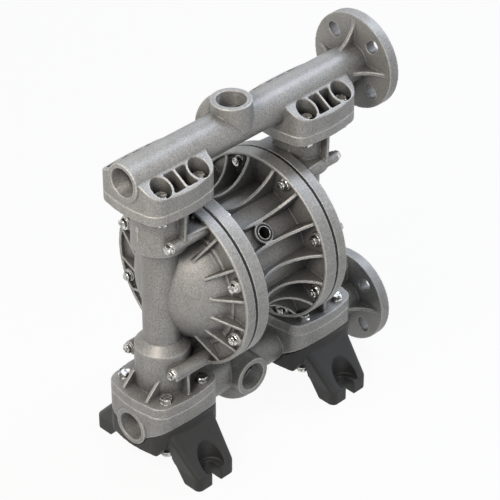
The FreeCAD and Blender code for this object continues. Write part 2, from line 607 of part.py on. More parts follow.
def make_fluid_cap(side):
    body = new_body(f"{side}_fluid_cap", turn=FACING[side])
    step_x = fluid_web_end + dome_step_height
    step_inner = root(dome_radius * dome_radius
                      - (step_x - dome_centre_x) * (step_x - dome_centre_x))
    shell = sketch(body, "cap_section", "XY_Plane", [[
        (fluid_face_x, 0), (fluid_face_x, rim_radius), (fluid_rim_end, rim_radius),
        (fluid_rim_end, rim_inner), (fluid_web_end, rim_inner),
        (fluid_web_end, dome_step_radius), (step_x, dome_step_radius),
        (step_x, step_inner, -dome_radius), (dome_centre_x + dome_radius, 0)]])
    revolve(body, "cap", shell)
    fin = sketch(body, "fin_section", "XZ_Plane", [[
        (fluid_web_end, fin_foot_radius),
        (dome_x(fin_foot_radius, dome_radius), fin_foot_radius),
        (fluid_rim_end - 1, rim_inner), (fluid_web_end, rim_inner)]],
        turn=(X_AXIS, HALF_BAY))
    around(body, "fins", [pad(body, "fin", fin, fin_thick, middle=True)], rib_count)
    for name, angles, radius, height in (
            ("short_bosses", SHORT_ANGLES, ring_boss_radius, ring_boss_height),
            ("long_bosses", LONG_ANGLES, long_boss_radius, long_boss_end - fluid_web_end)):
        plan = sketch(body, name + "_plan", "YZ_Plane",
                      [("circle", *ring_place(angle), radius) for angle in angles],
                      shift=(0, 0, fluid_web_end))
        pad(body, name, plan, height)
    column = sketch(body, "column_section", "XZ_Plane", [[
        (0, -lower_pad_z), (housing_radius, -lower_pad_z),
        (housing_radius, -housing_reach), (column_radius, housing_cone - housing_reach),
        (column_radius, housing_reach), (housing_radius, housing_reach),
        (housing_radius, upper_pad_z), (0, upper_pad_z)]], shift=(column_x, 0, 0))
    revolve(body, "column", column, "V_Axis")
    for name, height in (("upper_flange", upper_pad_z - flange_thick),
                         ("lower_flange", -lower_pad_z)):
        plan = sketch(body, name + "_plan", "XY_Plane", [pad_outline()],
                      shift=(column_x, 0, height))
        pad(body, name, plan, flange_thick)
    flange_top = flange_thick - lower_pad_z
    root_x = root(housing_radius * housing_radius - gusset_offset * gusset_offset) - 2
    gusset = sketch(body, "gusset_section", "XZ_Plane", [[
        (root_x, flange_top), (flange_half_x - flange_crown * 2, flange_top),
        (root_x, flange_top + gusset_height)]], shift=(column_x, 0, gusset_offset))
    gussets = [pad(body, "outer_gusset", gusset, gusset_thick, middle=True)]
    boss_y, boss_z = ring_place(LONG_ANGLES[0])
    web_inner = housing_radius - 2
    for name, sign, face in (("upper_web", 1, upper_pad_z - flange_thick),
                             ("lower_web", -1, flange_top)):
        web = sketch(body, name + "_section", "YZ_Plane", [[
            (web_inner, face), (flange_half_y - flange_crown * 2, face),
            (boss_y + long_boss_radius - 1, sign * boss_z),
            (web_inner, sign * boss_z)]], shift=(0, 0, column_x))
        gussets.append(pad(body, name, web, gusset_thick, middle=True))
    mirrored(body, "gussets", gussets, "XZ_Plane")
    start = fluid_face_x + 2
    shelf = sketch(body, "shelf_plan", "XY_Plane", [[
        (start, -shelf_half_rim), (column_x, -shelf_half_column),
        (column_x, shelf_half_column), (start, shelf_half_rim)]], shift=(0, 0, shelf_bottom))
    pad(body, "shelf", shelf, shelf_top - shelf_bottom)
    bars = sketch(body, "bars_plan", "XY_Plane", [[
        (start, -bar_outer), (long_boss_end, -bar_outer), (long_boss_end, -bar_inner),
        (column_x, -bar_inner), (column_x, bar_inner), (long_boss_end, bar_inner),
        (long_boss_end, bar_outer), (start, bar_outer)]], shift=(0, 0, -bar_bottom))
    pad(body, "bars", bars, bar_bottom - bar_top)
    inner_dome = dome_radius - dome_wall
    start_x = fluid_face_x - 1
    start_r = root(inner_dome * inner_dome
                   - (start_x - dome_centre_x) * (start_x - dome_centre_x))
    cavity = sketch(body, "cavity_section", "XY_Plane", [[
        (start_x, 0), (start_x, start_r, -inner_dome),
        (dome_centre_x + inner_dome, 0)]])
    groove(body, "cavity", cavity)
    duct = sketch(body, "duct_section", "XZ_Plane", [[
        (0, -lower_pad_z - 1), (chamber_radius, -lower_pad_z - 1),
        (chamber_radius, -lower_roof_z), (column_bore, -lower_roof_z),
        (column_bore, upper_floor_z), (chamber_radius, upper_floor_z),
        (chamber_radius, upper_pad_z + 1), (0, upper_pad_z + 1)]],
        shift=(column_x, 0, 0))
    groove(body, "duct", duct, "V_Axis")
    cut_ring_holes(body, long_boss_end)
    groove_in = ring_line_radius - ring_section - ring_room
    groove_out = ring_line_radius + ring_section + ring_room
    for name, height, up in (("upper", upper_pad_z, False), ("lower", -lower_pad_z, True)):
        holes = sketch(body, name + "_holes_plan", "XY_Plane",
                       pad_bolt_holes(pad_bolt_radius + hole_clearance),
                       shift=(column_x, 0, height))
        pocket(body, name + "_holes", holes, flange_thick, back=up)
        ring = sketch(body, name + "_ring_plan", "XY_Plane",
                      [("circle", 0, 0, groove_in), ("circle", 0, 0, groove_out)],
                      shift=(column_x, 0, height))
        pocket(body, name + "_ring_groove", ring, ring_section * 2 + ring_room, back=up)


# Manifolds: pipe, two pads, middle port bosses and an end flange in one casting

def pad_slope(y):
    """Height of a pad's sloping face over its manifold axis, at a distance from it."""
    fall = pad_slope_rise / (flange_half_y - pad_slope_end)
    return pad_edge_thick - pad_drop + fall * (flange_half_y - y)


def make_manifold(label, height, turn, top_open):
    body = new_body(label, place=(0, 0, height), turn=turn)
    plan = sketch(body, "pad_plan", "XY_Plane", [pad_outline()],
                  shift=(column_x, 0, -pad_drop))
    mirrored(body, "other_pad", [
        pad(body, "pad", plan, pad_drop + pipe_radius)], "YZ_Plane")
    far_y = flange_half_y + 1
    top_z = pipe_radius + 1
    slope = sketch(body, "slope_section", "YZ_Plane", [[
        (far_y, pad_slope(far_y)), (far_y, top_z), (0, top_z),
        (0, pad_slope(pad_slope_end)), (pad_slope_end, pad_slope(pad_slope_end))]])
    mirrored(body, "other_slope", [
        pocket(body, "slope", slope, (column_x + flange_half_x + 1) * 2, middle=True)],
        "XZ_Plane")
    pipe = sketch(body, "pipe_plan", "YZ_Plane", [("circle", 0, 0, pipe_radius)],
                  shift=(0, 0, -near_end_x))
    pad(body, "pipe", pipe, near_end_x + flange_face_x)
    flange_back = flange_face_x - pipe_flange_thick
    disc = sketch(body, "flange_plan", "YZ_Plane", [("circle", 0, 0, pipe_flange_radius)],
                  shift=(0, 0, flange_back))
    pad(body, "flange", disc, pipe_flange_thick)
    gusset = sketch(body, "gusset_section", "XZ_Plane", [[
        (flange_back - pipe_gusset_length, pipe_radius - 1), (flange_back, pipe_radius - 1),
        (flange_back, pipe_flange_radius - pipe_gusset_margin, -pipe_gusset_curve)]])
    around(body, "gussets", [
        pad(body, "gusset", gusset, pipe_gusset_thick, middle=True)], 4)
    top_boss = sketch(body, "top_boss_plan", "XY_Plane", [("circle", 0, 0, hub_radius)])
    pad(body, "top_boss", top_boss, hub_reach)
    side_boss = sketch(body, "side_boss_plan", "XZ_Plane", [("circle", 0, 0, hub_radius)])
    pad(body, "side_boss", side_boss, hub_reach, back=True)
    bore = sketch(body, "bore_plan", "YZ_Plane", [("circle", 0, 0, pipe_bore)])
    pocket(body, "bore", bore, (flange_face_x + 1) * 2, middle=True)
    socket = sketch(body, "end_socket_plan", "YZ_Plane", [("circle", 0, 0, socket_radius)],
                    shift=(0, 0, -near_end_x))
    pocket(body, "end_socket", socket, socket_depth, back=True)
    plane = "XY_Plane" if top_open else "XZ_Plane"
    reach = hub_reach if top_open else -hub_reach
    for name, radius, depth in (("port", port_bore, hub_reach),
                                ("port_socket", socket_radius, socket_depth)):
        mouth = sketch(body, name + "_plan", plane, [("circle", 0, 0, radius)],
                       shift=(0, 0, reach))
        pocket(body, name, mouth, depth, back=not top_open)
    opening = sketch(body, "opening_plan", "XY_Plane", [("circle", 0, 0, port_radius)],
                     shift=(column_x, 0, -pad_drop))
    cuts = [pocket(body, "opening", opening, pad_drop, back=True)]
    floor_z = pocket_floor - pad_drop
    pockets = sketch(body, "pockets_plan", "XY_Plane", pad_bolt_holes(pocket_radius),
                     shift=(column_x, 0, floor_z))
    cuts.append(pocket(body, "pockets", pockets, pad_drop + pipe_radius, back=True))
    cores = sketch(body, "cores_plan", "XY_Plane",
                   [core_outline(sx, sy) for sx in (-1, 1) for sy in (-1, 1)],
                   shift=(column_x, 0, floor_z))
    cuts.append(pocket(body, "cores", cores, pad_drop + pipe_radius, back=True))
    holes = sketch(body, "holes_plan", "XY_Plane",
                   pad_bolt_holes(pad_bolt_radius + hole_clearance),
                   shift=(column_x, 0, -pad_drop))
    cuts.append(pocket(body, "holes", holes, pocket_floor, back=True))
    mirrored(body, "other_pad_cuts", cuts, "YZ_Plane")
    notch = sketch(body, "slot_plan", "YZ_Plane", [slot(slot_inner, slot_outer, slot_radius)],
                   shift=(0, 0, flange_back - 1), turn=(Z_AXIS, 45.0))
    around(body, "slots", [
        pocket(body, "slot", notch, pipe_flange_thick + 2, back=True)], 4)


def core_outline(sx, sy):
    """One cored pocket of a pad, beside the straight rib and round a bolt pocket."""
    wall = pocket_radius + core_wall
    inner_y = pipe_radius + core_wall / 2
    outer_y = flange_half_y - core_wall * 1.6
    corners = []
    for y in (inner_y, outer_y):
        reach = root(wall * wall - (y - pad_bolt_y) * (y - pad_bolt_y))
        corners.append((pad_bolt_x - reach, y))
    centre = core_wall / 2
    return [
        (centre * sx, inner_y * sy), (corners[0][0] * sx, inner_y * sy, wall * (-sx * sy)),
        (corners[1][0] * sx, outer_y * sy), (centre * sx, outer_y * sy)]


# Feet

def leg_outline(half, inner, outer):
    """Plan of a foot leg: a rectangle whose two outer corners are rounded."""
    return [
        (-half, inner), (half, inner), (half, outer - foot_corner, foot_corner),
        (half - foot_corner, outer), (foot_corner - half, outer, foot_corner),
        (-half, outer - foot_corner)]


def make_foot(side):
    body = new_body(f"{side}_foot", place=(SIDES[side] * column_x, 0, 0))
    manifold_z = axis_height - lower_axis
    edge_z = manifold_z - pad_slope(flange_half_y)
    root_z = edge_z - saddle_side
    side_y = flange_half_y + 1
    saddle = sketch(body, "saddle_section", "YZ_Plane", [[
        (-side_y, edge_z), (-side_y, root_z), (-saddle_keel, saddle_bottom),
        (saddle_keel, saddle_bottom), (side_y, root_z), (side_y, edge_z)]])
    pad(body, "saddle", saddle, flange_half_x * 2 + 2, middle=True)
    margin = flange_half_x * 1.5
    frame = sketch(body, "outline_plan", "XY_Plane", [
        rectangle(-margin, -margin, margin, margin), pad_outline()])
    pocket(body, "outline", frame, edge_z + 1, back=True)
    sole = sketch(body, "sole_plan", "XY_Plane", [
        leg_outline(foot_half_x, foot_heel, foot_reach)])
    ankle = sketch(body, "ankle_plan", "XY_Plane", [
        leg_outline(foot_half_x, foot_heel, foot_reach)], shift=(0, 0, foot_end_height))
    hip = sketch(body, "root_plan", "XY_Plane", [
        leg_outline(foot_root_x, foot_root_inner, foot_root_outer)], shift=(0, 0, root_z))
    mirrored(body, "other_leg", [
        pad(body, "sole", sole, foot_end_height), loft(body, "leg", ankle, hip)], "XZ_Plane")
    heel = sketch(body, "heel_section", "YZ_Plane", [[
        (foot_heel - 1, foot_end_height), (foot_heel, foot_end_height),
        (foot_sole_start, 0), (foot_sole_start, -1), (foot_heel - 1, -1)]])
    mirrored(body, "other_heel", [
        pocket(body, "heel", heel, foot_root_x * 2 + 2, middle=True)], "XZ_Plane")
    far_y = flange_half_y + 1
    seat = sketch(body, "seat_section", "YZ_Plane", [[
        (far_y, manifold_z - pad_slope(far_y)), (far_y, manifold_z + pipe_radius),
        (0, manifold_z + pipe_radius), (0, manifold_z - pad_slope(pad_slope_end)),
        (pad_slope_end, manifold_z - pad_slope(pad_slope_end))]])
    mirrored(body, "other_seat", [
        pocket(body, "seat", seat, flange_half_x * 2 + 2, middle=True)], "XZ_Plane")
    trough = sketch(body, "trough_plan", "YZ_Plane",
                    [("circle", 0, manifold_z, pipe_radius + foot_clearance)])
    pocket(body, "trough", trough, flange_half_x * 2 + 2, middle=True)
    notch = sketch(body, "notch_plan", "XY_Plane", [[
        (notch_radius, foot_reach + 1), (-notch_radius, foot_reach + 1),
        (-notch_radius, notch_centre, notch_radius), (0, notch_centre - notch_radius, notch_radius),
        (notch_radius, notch_centre)]])
    scoop = sketch(body, "scoop_plan", "XY_Plane", [("circle", 0, scoop_centre, scoop_radius)],
                   shift=(0, 0, foot_end_height))
    mirrored(body, "other_notch", [
        pocket(body, "notch", notch, foot_end_height + 1, back=True),
        pocket(body, "scoop", scoop, edge_z, back=True)], "XZ_Plane")
    holes = sketch(body, "holes_plan", "XY_Plane",
                   pad_bolt_holes(pad_bolt_radius + hole_clearance))
    pocket(body, "holes", holes, edge_z + 1, back=True)
    nuts = sketch(body, "nut_pockets_plan", "XY_Plane", pad_bolt_holes(nut_pocket_radius))
    pocket(body, "nut_pockets", nuts, saddle_bottom, back=True)


# Ball valves

def valve_places():
    """Each valve's name, its column side and the height of its seat's underside."""
    places = []
    for side, sign in SIDES.items():
        places.append((f"upper_{side}", sign, axis_height + upper_floor_z))
        places.append((f"lower_{side}", sign, axis_height - lower_pad_z))
    return places


seat_slope = seat_line_radius / root(
    ball_radius * ball_radius - seat_line_radius * seat_line_radius)
ball_height = root(ball_radius * ball_radius - seat_line_radius * seat_line_radius) \
    - seat_bevel * seat_slope + ball_gap * 2
insert_radius = chamber_radius - valve_fit


def make_seat(name, sign, height):
    body = new_body(f"{name}_seat", place=(sign * column_x, 0, height))
    section = sketch(body, "seat_section", "XZ_Plane", [[
        (seat_line_radius - seat_bevel, 0), (insert_radius, 0), (insert_radius, seat_thick),
        (seat_line_radius + seat_bevel, seat_thick),
        (seat_line_radius - seat_bevel, seat_thick - seat_bevel * seat_slope * 2)]])
    revolve(body, "seat", section, "V_Axis")


def make_cage(name, sign, height):
    body = new_body(f"{name}_cage", place=(sign * column_x, 0, height + seat_thick))
    tall = chamber_depth - seat_thick
    tube = sketch(body, "tube_section", "XZ_Plane", [
        rectangle(insert_radius - cage_wall, 0, insert_radius, tall)])
    revolve(body, "tube", tube, "V_Axis")
    guide = ball_radius + guide_gap
    stop = ball_height + ball_lift + ball_radius + ball_gap
    outer = insert_radius - cage_wall / 2
    rib = sketch(body, "rib_section", "XZ_Plane", [[
        (guide, 0), (outer, 0), (outer, stop + cage_bar), (0, stop + cage_bar),
        (0, stop), (guide, stop)]])
    around(body, "ribs", [pad(body, "rib", rib, cage_rib, middle=True)], 4, "Z_Axis")


def make_ball(name, sign, height):
    ball = doc.addObject("Part::Sphere", f"{name}_ball")
    ball.Label = f"{name}_ball"
    set_length(ball, "Radius", ball_radius)
    place_object(ball, (sign * column_x, 0, height + seat_thick + ball_height))
    nodes.append(ball)


def make_joint_ring(name, sign):
    """A square sectioned seal ring in the groove of a column flange."""
    depth = ring_section * 2
    face = upper_pad_z - depth if name.startswith("upper") else -lower_pad_z
    body = new_body(f"{name}_ring", place=(sign * column_x, 0, axis_height + face))
    revolve(body, "ring", sketch(body, "ring_section", "XZ_Plane", [
        rectangle(ring_line_radius - ring_section, 0, ring_line_radius + ring_section, depth)]),
        "V_Axis")


# Diaphragms, plates and shaft

def make_diaphragm(side):
    body = new_body(f"{side}_diaphragm", turn=FACING[side])
    outer = rim_radius - diaphragm_inset
    foot_in = inner_plate_radius + diaphragm_thick
    foot_out = clamp_inner_radius - diaphragm_thick
    slant = (foot_out - foot_in) / 4
    lean = diaphragm_thick / 2
    crest = fluid_face_x + convolution
    trough = air_face_x + convolution
    hole = stud_radius + hole_clearance
    sheet_section = sketch(body, "sheet_section", "XY_Plane", [[
        (air_face_x, hole), (fluid_face_x, hole), (fluid_face_x, foot_in - lean),
        (crest, foot_in + slant - lean), (crest, foot_out - slant + lean),
        (fluid_face_x, foot_out + lean), (fluid_face_x, outer), (air_face_x, outer),
        (air_face_x, foot_out - lean), (trough, foot_out - slant - lean),
        (trough, foot_in + slant + lean), (air_face_x, foot_in + lean)]])
    revolve(body, "sheet", sheet_section)
    cut_ring_holes(body, fluid_face_x)


def make_plates(side):
    bore = stud_radius + thread_clearance
    body = new_body(f"{side}_inner_plate", turn=FACING[side])
    hub = air_face_x - inner_plate_thick
    section = sketch(body, "plate_section", "XY_Plane", [[
        (hub, bore), (air_face_x, bore), (air_face_x, inner_plate_radius),
        (air_face_x - plate_edge, inner_plate_radius), (hub, inner_plate_radius * 0.6)]])
    revolve(body, "plate", section)
    body = new_body(f"{side}_outer_plate", turn=FACING[side])
    hub = fluid_face_x + outer_plate_thick
    blind = hub - plate_edge
    section = sketch(body, "plate_section", "XY_Plane", [[
        (fluid_face_x, bore), (fluid_face_x, outer_plate_radius),
        (fluid_face_x + plate_edge, outer_plate_radius), (hub, outer_plate_radius * 0.45),
        (hub, 0), (blind, 0), (blind, bore)]])
    revolve(body, "plate", section)


def make_shaft():
    body = new_body("shaft")
    shoulder = air_face_x - inner_plate_thick
    end = fluid_face_x + outer_plate_thick - plate_edge - hole_clearance
    section = sketch(body, "shaft_section", "XY_Plane", [[
        (-end, 0), (-end, stud_radius), (-shoulder, stud_radius), (-shoulder, shaft_radius),
        (shoulder, shaft_radius), (shoulder, stud_radius), (end, stud_radius), (end, 0)]])
    revolve(body, "shaft_turned", section)


def make_bearings(side):
    bore = shaft_radius + running_fit
    outer = bush_radius - static_fit
    end = bush_inner_end + bush_length
    body = new_body(f"{side}_shaft_bush", turn=FACING[side])
    revolve(body, "bush", sketch(body, "bush_section", "XY_Plane", [
        rectangle(bush_inner_end, bore, end, outer)]))
    body = new_body(f"{side}_shaft_seal", turn=FACING[side])
    revolve(body, "seal", sketch(body, "seal_section", "XY_Plane", [
        rectangle(end, bore, end + seal_length, outer)]))


# Air valve

def make_air_valve():
    place = (0, valve_y, axis_height)
    half = wall_half - plug_thick
    body = new_body("air_valve_sleeve", place=place)
    revolve(body, "sleeve", sketch(body, "sleeve_section", "XY_Plane", [
        rectangle(-half, spool_radius + running_fit, half, sleeve_radius - static_fit)]))
    ports = sketch(body, "ports_plan", "XY_Plane", [
        ("circle", step * land_width * 1.8, 0, land_width / 3) for step in (-1, 0, 1)])
    pocket(body, "ports", ports, sleeve_radius * 2, middle=True)
    body = new_body("air_valve_spool", place=place)
    spool = sketch(body, "spool_section", "XY_Plane", [[
        (-spool_half, 0), (-spool_half, spool_radius),
        (land_width - spool_half, spool_radius), (land_width - spool_half, spool_neck),
        (-land_width / 2, spool_neck), (-land_width / 2, spool_radius),
        (land_width / 2, spool_radius), (land_width / 2, spool_neck),
        (spool_half - land_width, spool_neck), (spool_half - land_width, spool_radius),
        (spool_half, spool_radius), (spool_half, 0)]])
    revolve(body, "spool", spool)
    for side in SIDES:
        body = new_body(f"{side}_valve_plug", place=place, turn=FACING[side])
        plug = sketch(body, "plug_plan", "YZ_Plane",
                      [("circle", 0, 0, sleeve_radius - static_fit)], shift=(0, 0, half))
        pad(body, "plug", plug, plug_thick)


def make_pilot_pin(side):
    tip = air_face_x - inner_plate_thick - stroke - ball_gap
    pin = doc.addObject("Part::Cylinder", f"{side}_pilot_pin")
    pin.Label = f"{side}_pilot_pin"
    set_length(pin, "Radius", pilot_radius)
    set_length(pin, "Height", pilot_length)
    start = tip - pilot_length if side == "right" else -tip
    place_object(pin, (start, 0, axis_height + pilot_z), (Vector(0, 1, 0), 90.0))
    nodes.append(pin)


# Exhaust silencer, screwed into the boss behind and below the shaft

def make_silencer():
    reach = inlet_boss_top / math.sqrt(2.0)
    body = new_body("exhaust_silencer", place=(0, reach, axis_height - reach),
                    turn=(X_AXIS, 225.0))
    collar = silencer_radius + 2
    section = sketch(body, "silencer_section", "XZ_Plane", [[
        (0, -silencer_thread), (exhaust_radius - static_fit, -silencer_thread),
        (exhaust_radius - static_fit, 0), (collar, 0), (collar, silencer_length * 0.2),
        (silencer_radius, silencer_length * 0.2),
        (silencer_radius, silencer_length - 3), (silencer_radius - 3, silencer_length),
        (0, silencer_length)]])
    revolve(body, "silencer", section, "V_Axis")


# Fasteners

def add_bolts(body, name, plane, seat, end, places, sizes):
    """Collared hexagon bolts from a seat level down to an end level."""
    radius, collar, flats, head_height = sizes
    for part, level, length, loops in (
            ("collar", seat, collar_thick,
             [("circle", x, y, collar) for x, y in places]),
            ("head", seat + collar_thick, head_height,
             [hexagon(x, y, flats) for x, y in places]),
            ("shank", end, seat - end,
             [("circle", x, y, radius) for x, y in places])):
        plan = sketch(body, f"{name}_{part}_plan", plane, loops, shift=(0, 0, level))
        pad(body, f"{name}_{part}", plan, length)


def add_nuts(body, plane, seat, height, places, sizes):
    """Collared hexagon nuts under a seat level."""
    radius, collar, flats = sizes
    bores = [("circle", x, y, radius + thread_clearance) for x, y in places]
    rounds = [("circle", x, y, collar) for x, y in places]
    hexagons = [hexagon(x, y, flats) for x, y in places]
    for part, level, length, outlines in (
            ("collar", seat, collar_thick, rounds),
            ("nut", seat - collar_thick, height - collar_thick, hexagons)):
        plan = sketch(body, f"{part}_plan", plane, bores + outlines, shift=(0, 0, level))
        pad(body, part, plan, length, back=True)


def make_ring_fasteners(side):
    body = new_body(f"{side}_ring_bolts", turn=FACING[side])
    nut_seat = air_web_end - nut_boss_height
    end = nut_seat - ring_nut_height - bolt_end
    sizes = (ring_bolt_radius, ring_collar_radius, ring_head_flats, ring_head_height)
    for name, angles, seat in (
            ("short", SHORT_ANGLES, fluid_web_end + ring_boss_height),
            ("long", LONG_ANGLES, long_boss_end)):
        add_bolts(body, name, "YZ_Plane", seat, end,
                  [ring_place(angle) for angle in angles], sizes)
    body = new_body(f"{side}_ring_nuts", turn=FACING[side])
    add_nuts(body, "YZ_Plane", nut_seat, ring_nut_height,
             [ring_place(angle) for angle in RING_ANGLES],
             (ring_bolt_radius, ring_collar_radius, ring_head_flats))


def make_pad_fasteners(name, head_seat, nut_seat):
    """Bolts and nuts of one manifold: heads above, nuts below."""
    places = [(sx * column_x + bx * pad_bolt_x, by * pad_bolt_y)
              for sx in (-1, 1) for bx in (-1, 1) for by in (-1, 1)]
    body = new_body(f"{name}_pad_bolts")
    add_bolts(body, "pad", "XY_Plane", head_seat, nut_seat - pad_nut_height - bolt_end,
              places, (pad_bolt_radius, pad_collar_radius, pad_head_flats, pad_head_height))
    body = new_body(f"{name}_pad_nuts")
    add_nuts(body, "XY_Plane", nut_seat, pad_nut_height, places,
             (pad_bolt_radius, pad_collar_radius, pad_head_flats))


def build():
    """Make every sub-part."""
    make_center_housing()
    for side in SIDES:
        make_fluid_cap(side)
        make_foot(side)
        make_diaphragm(side)
        make_plates(side)
        make_bearings(side)
        make_pilot_pin(side)
        make_ring_fasteners(side)
    make_manifold("upper_manifold", axis_height + upper_axis, (X_AXIS, 0.0), True)
    make_manifold("lower_manifold", axis_height - lower_axis, (X_AXIS, 180.0), False)
    for name, sign, height in valve_places():
        make_seat(name, sign, height)
        make_cage(name, sign, height)
        make_ball(name, sign, height)
        make_joint_ring(name, sign)
    make_shaft()
    make_air_valve()
    make_silencer()
    make_pad_fasteners("upper", upper_pad_z + pocket_floor, upper_pad_z - flange_thick)
    make_pad_fasteners("lower", flange_thick - lower_pad_z, saddle_bottom - axis_height)
    doc.recompute()


def check():
    """Stop unless every object is sound, and report the solids of each node."""
    for item in doc.Objects:
        bad = [state for state in item.State if state in ("Invalid", "Error")]
        if bad:
            raise RuntimeError(f"{item.Label} in {item.Name}: {bad}")
    for node in nodes:
        if node.Shape.isNull() or not node.Shape.isValid():
            raise RuntimeError(f"{node.Label} has no sound shape")
        if len(node.Shape.Solids) != 1 and not node.Label.endswith(("_bolts", "_nuts")):
            raise RuntimeError(f"{node.Label} has fallen into {len(node.Shape.Solids)} solids")
        print(node.Label, len(node.Shape.Solids), round(node.Shape.Volume / 1000.0, 2), "cm3")


def export():
    """Write each node to its own file."""
    os.makedirs("parts", exist_ok=True)
    for node in nodes:
        node.Shape.exportStep(f"parts/{node.Label}.step")


build()
check()
export()
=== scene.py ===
# %% [markdown]
# # An air operated diaphragm pump in a studio
#
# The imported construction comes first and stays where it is. This file dresses it: sand cast
# aluminium, bright zinc plated bolts, black painted feet and black rubber edges. Each step
# says what the real thing is, how it could be made, and why this way was chosen.

# %% Load the frame
import json
import math

import bmesh
import bpy
from mathutils import Matrix, Vector


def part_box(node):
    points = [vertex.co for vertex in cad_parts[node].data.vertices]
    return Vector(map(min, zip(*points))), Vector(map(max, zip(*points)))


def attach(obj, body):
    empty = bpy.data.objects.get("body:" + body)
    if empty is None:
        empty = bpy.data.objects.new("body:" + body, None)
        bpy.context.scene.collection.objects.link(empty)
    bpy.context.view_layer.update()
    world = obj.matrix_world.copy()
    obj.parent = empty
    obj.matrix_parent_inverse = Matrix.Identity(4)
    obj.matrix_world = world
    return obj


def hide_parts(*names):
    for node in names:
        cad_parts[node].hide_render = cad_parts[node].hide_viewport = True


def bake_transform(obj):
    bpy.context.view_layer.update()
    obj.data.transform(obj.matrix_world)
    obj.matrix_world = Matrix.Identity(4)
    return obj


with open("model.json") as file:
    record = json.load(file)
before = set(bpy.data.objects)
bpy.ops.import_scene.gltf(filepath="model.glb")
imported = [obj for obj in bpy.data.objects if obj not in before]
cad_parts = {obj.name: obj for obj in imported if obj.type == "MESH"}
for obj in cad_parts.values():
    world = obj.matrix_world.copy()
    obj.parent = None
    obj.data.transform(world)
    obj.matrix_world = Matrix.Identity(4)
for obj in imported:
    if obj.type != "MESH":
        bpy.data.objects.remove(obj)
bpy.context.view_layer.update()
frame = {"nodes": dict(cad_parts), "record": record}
MM = 0.001
scene = bpy.context.scene
nodes = frame["nodes"]

# %% [markdown]
# ## The camera
#
# The photograph is a view from above at equal angles to all three axes, taken from far away
# with a long lens, so that edges stay nearly parallel. The camera stands on that line, and
# its distance and lens were solved from circles and edges of known size.

# %% The camera
VIEW = Vector((1, 1, -1)).normalized()
TARGET = Vector((0.0364, 0.0, 0.2689))
DISTANCE = 3.6433
LENS_MM = 180.54
SENSOR_MM = 36.0
FAR_CLIP = 50

lens = bpy.data.cameras.new("studio_camera")
lens.lens = LENS_MM
lens.sensor_width = SENSOR_MM
lens.clip_end = FAR_CLIP
camera = bpy.data.objects.new("studio_camera", lens)
camera.location = TARGET - VIEW * DISTANCE
camera.rotation_euler = VIEW.to_track_quat("-Z", "Y").to_euler()
scene.collection.objects.link(camera)
scene.camera = camera
scene.view_settings.view_transform = "Standard"
print("camera at", [round(value, 3) for value in camera.location])

# %% [markdown]
# ## Colours and nodes
#
# Colours are written as the hex values that a paint chart or an image editor shows. A shader
# works in linear light, so one function turns them. One more adds a node with its settings
# and links, which keeps each material short enough to read as a list of what its surface has.


# %% A colour, a node and an empty material
def linear(code):
    """An sRGB hex colour as linear values for a shader."""
    parts = [int(code[start:start + 2], 16) / 255 for start in (1, 3, 5)]
    return tuple(part / 12.92 if part <= 0.04045 else ((part + 0.055) / 1.055) ** 2.4
                 for part in parts) + (1.0,)


def add(tree, kind, links=None, stops=(), **settings):
    """A node. A setting is a field of the node or a socket's value, a link's key is a socket's
    name or number, and a stop is a position and a hex colour on the node's ramp."""
    node = tree.nodes.new("ShaderNode" + kind)
    for name, value in settings.items():
        if hasattr(node, name):
            setattr(node, name, value)
        else:
            node.inputs[name.replace("_", " ")].default_value = value
    for index, (position, colour) in enumerate(stops):
        element = node.color_ramp.elements[index]
        element.position = position
        element.color = linear(colour)
    for name, socket in (links or {}).items():
        tree.links.new(socket, node.inputs[name])
    return node


def new_material(name):
    """An empty material with its shader, its output and the object's own coordinates."""
    material = bpy.data.materials.new(name)
    material.use_nodes = True
    tree = material.node_tree
    tree.nodes.clear()
    shader = add(tree, "BsdfPrincipled")
    add(tree, "OutputMaterial", {"Surface": shader.outputs[0]})
    place = add(tree, "TexCoord").outputs["Object"]
    return material, tree, shader, place


print("middle grey in linear light:", round(linear("#808080")[0], 3))

# %% [markdown]
# ## Sand cast aluminium
#
# The housings are poured into sand and then shot blasted. That leaves a dull grey skin with
# grains about a millimetre across and faint cloudy patches where the metal cooled unevenly.
# The grain is drawn above 2 mm, because a finer one would not show in a picture where a pixel
# covers 1.5 mm. Pointiness knows how sharply a dense mesh turns, so it paints a highlight on
# edges and painted shade in corners. An ambient occlusion node measures how much of the casting
# stands around each point, and paints shade into bays, bolt wells and bores. The skin is oxide
# over metal and mirrors little, so its metallic value stays well below 1.

# %% Material: sand cast aluminium
GRAIN_MM = 2.1
CLOUD_MM = 26.0
# Painted shade in recesses: how far the occlusion looks, its samples, and how dark it paints.
PAINTED_SHADE_REACH_MM = 45.0
PAINTED_SHADE_SAMPLES = 6
METAL_SHARE = 0.35
NOISE_ROUGHNESS = 0.55
NOISE_LOW, NOISE_HIGH = 0.3, 0.7
CLOUD_LOW, CLOUD_HIGH = 0.35, 0.65
GRAIN_LEVELS, GRAIN_SHADES = (NOISE_LOW, NOISE_HIGH), (0.72, 1.32)
# Painted highlight on edges and painted shade in corners, read from pointiness.
EDGE_LEVELS, EDGE_HIGHLIGHT_AND_SHADE = (0.45, 0.55), (0.3, 1.9)
OCCLUSION_LEVELS, PAINTED_SHADE_RANGE = (0.0, 1.0), (0.2, 1.04)


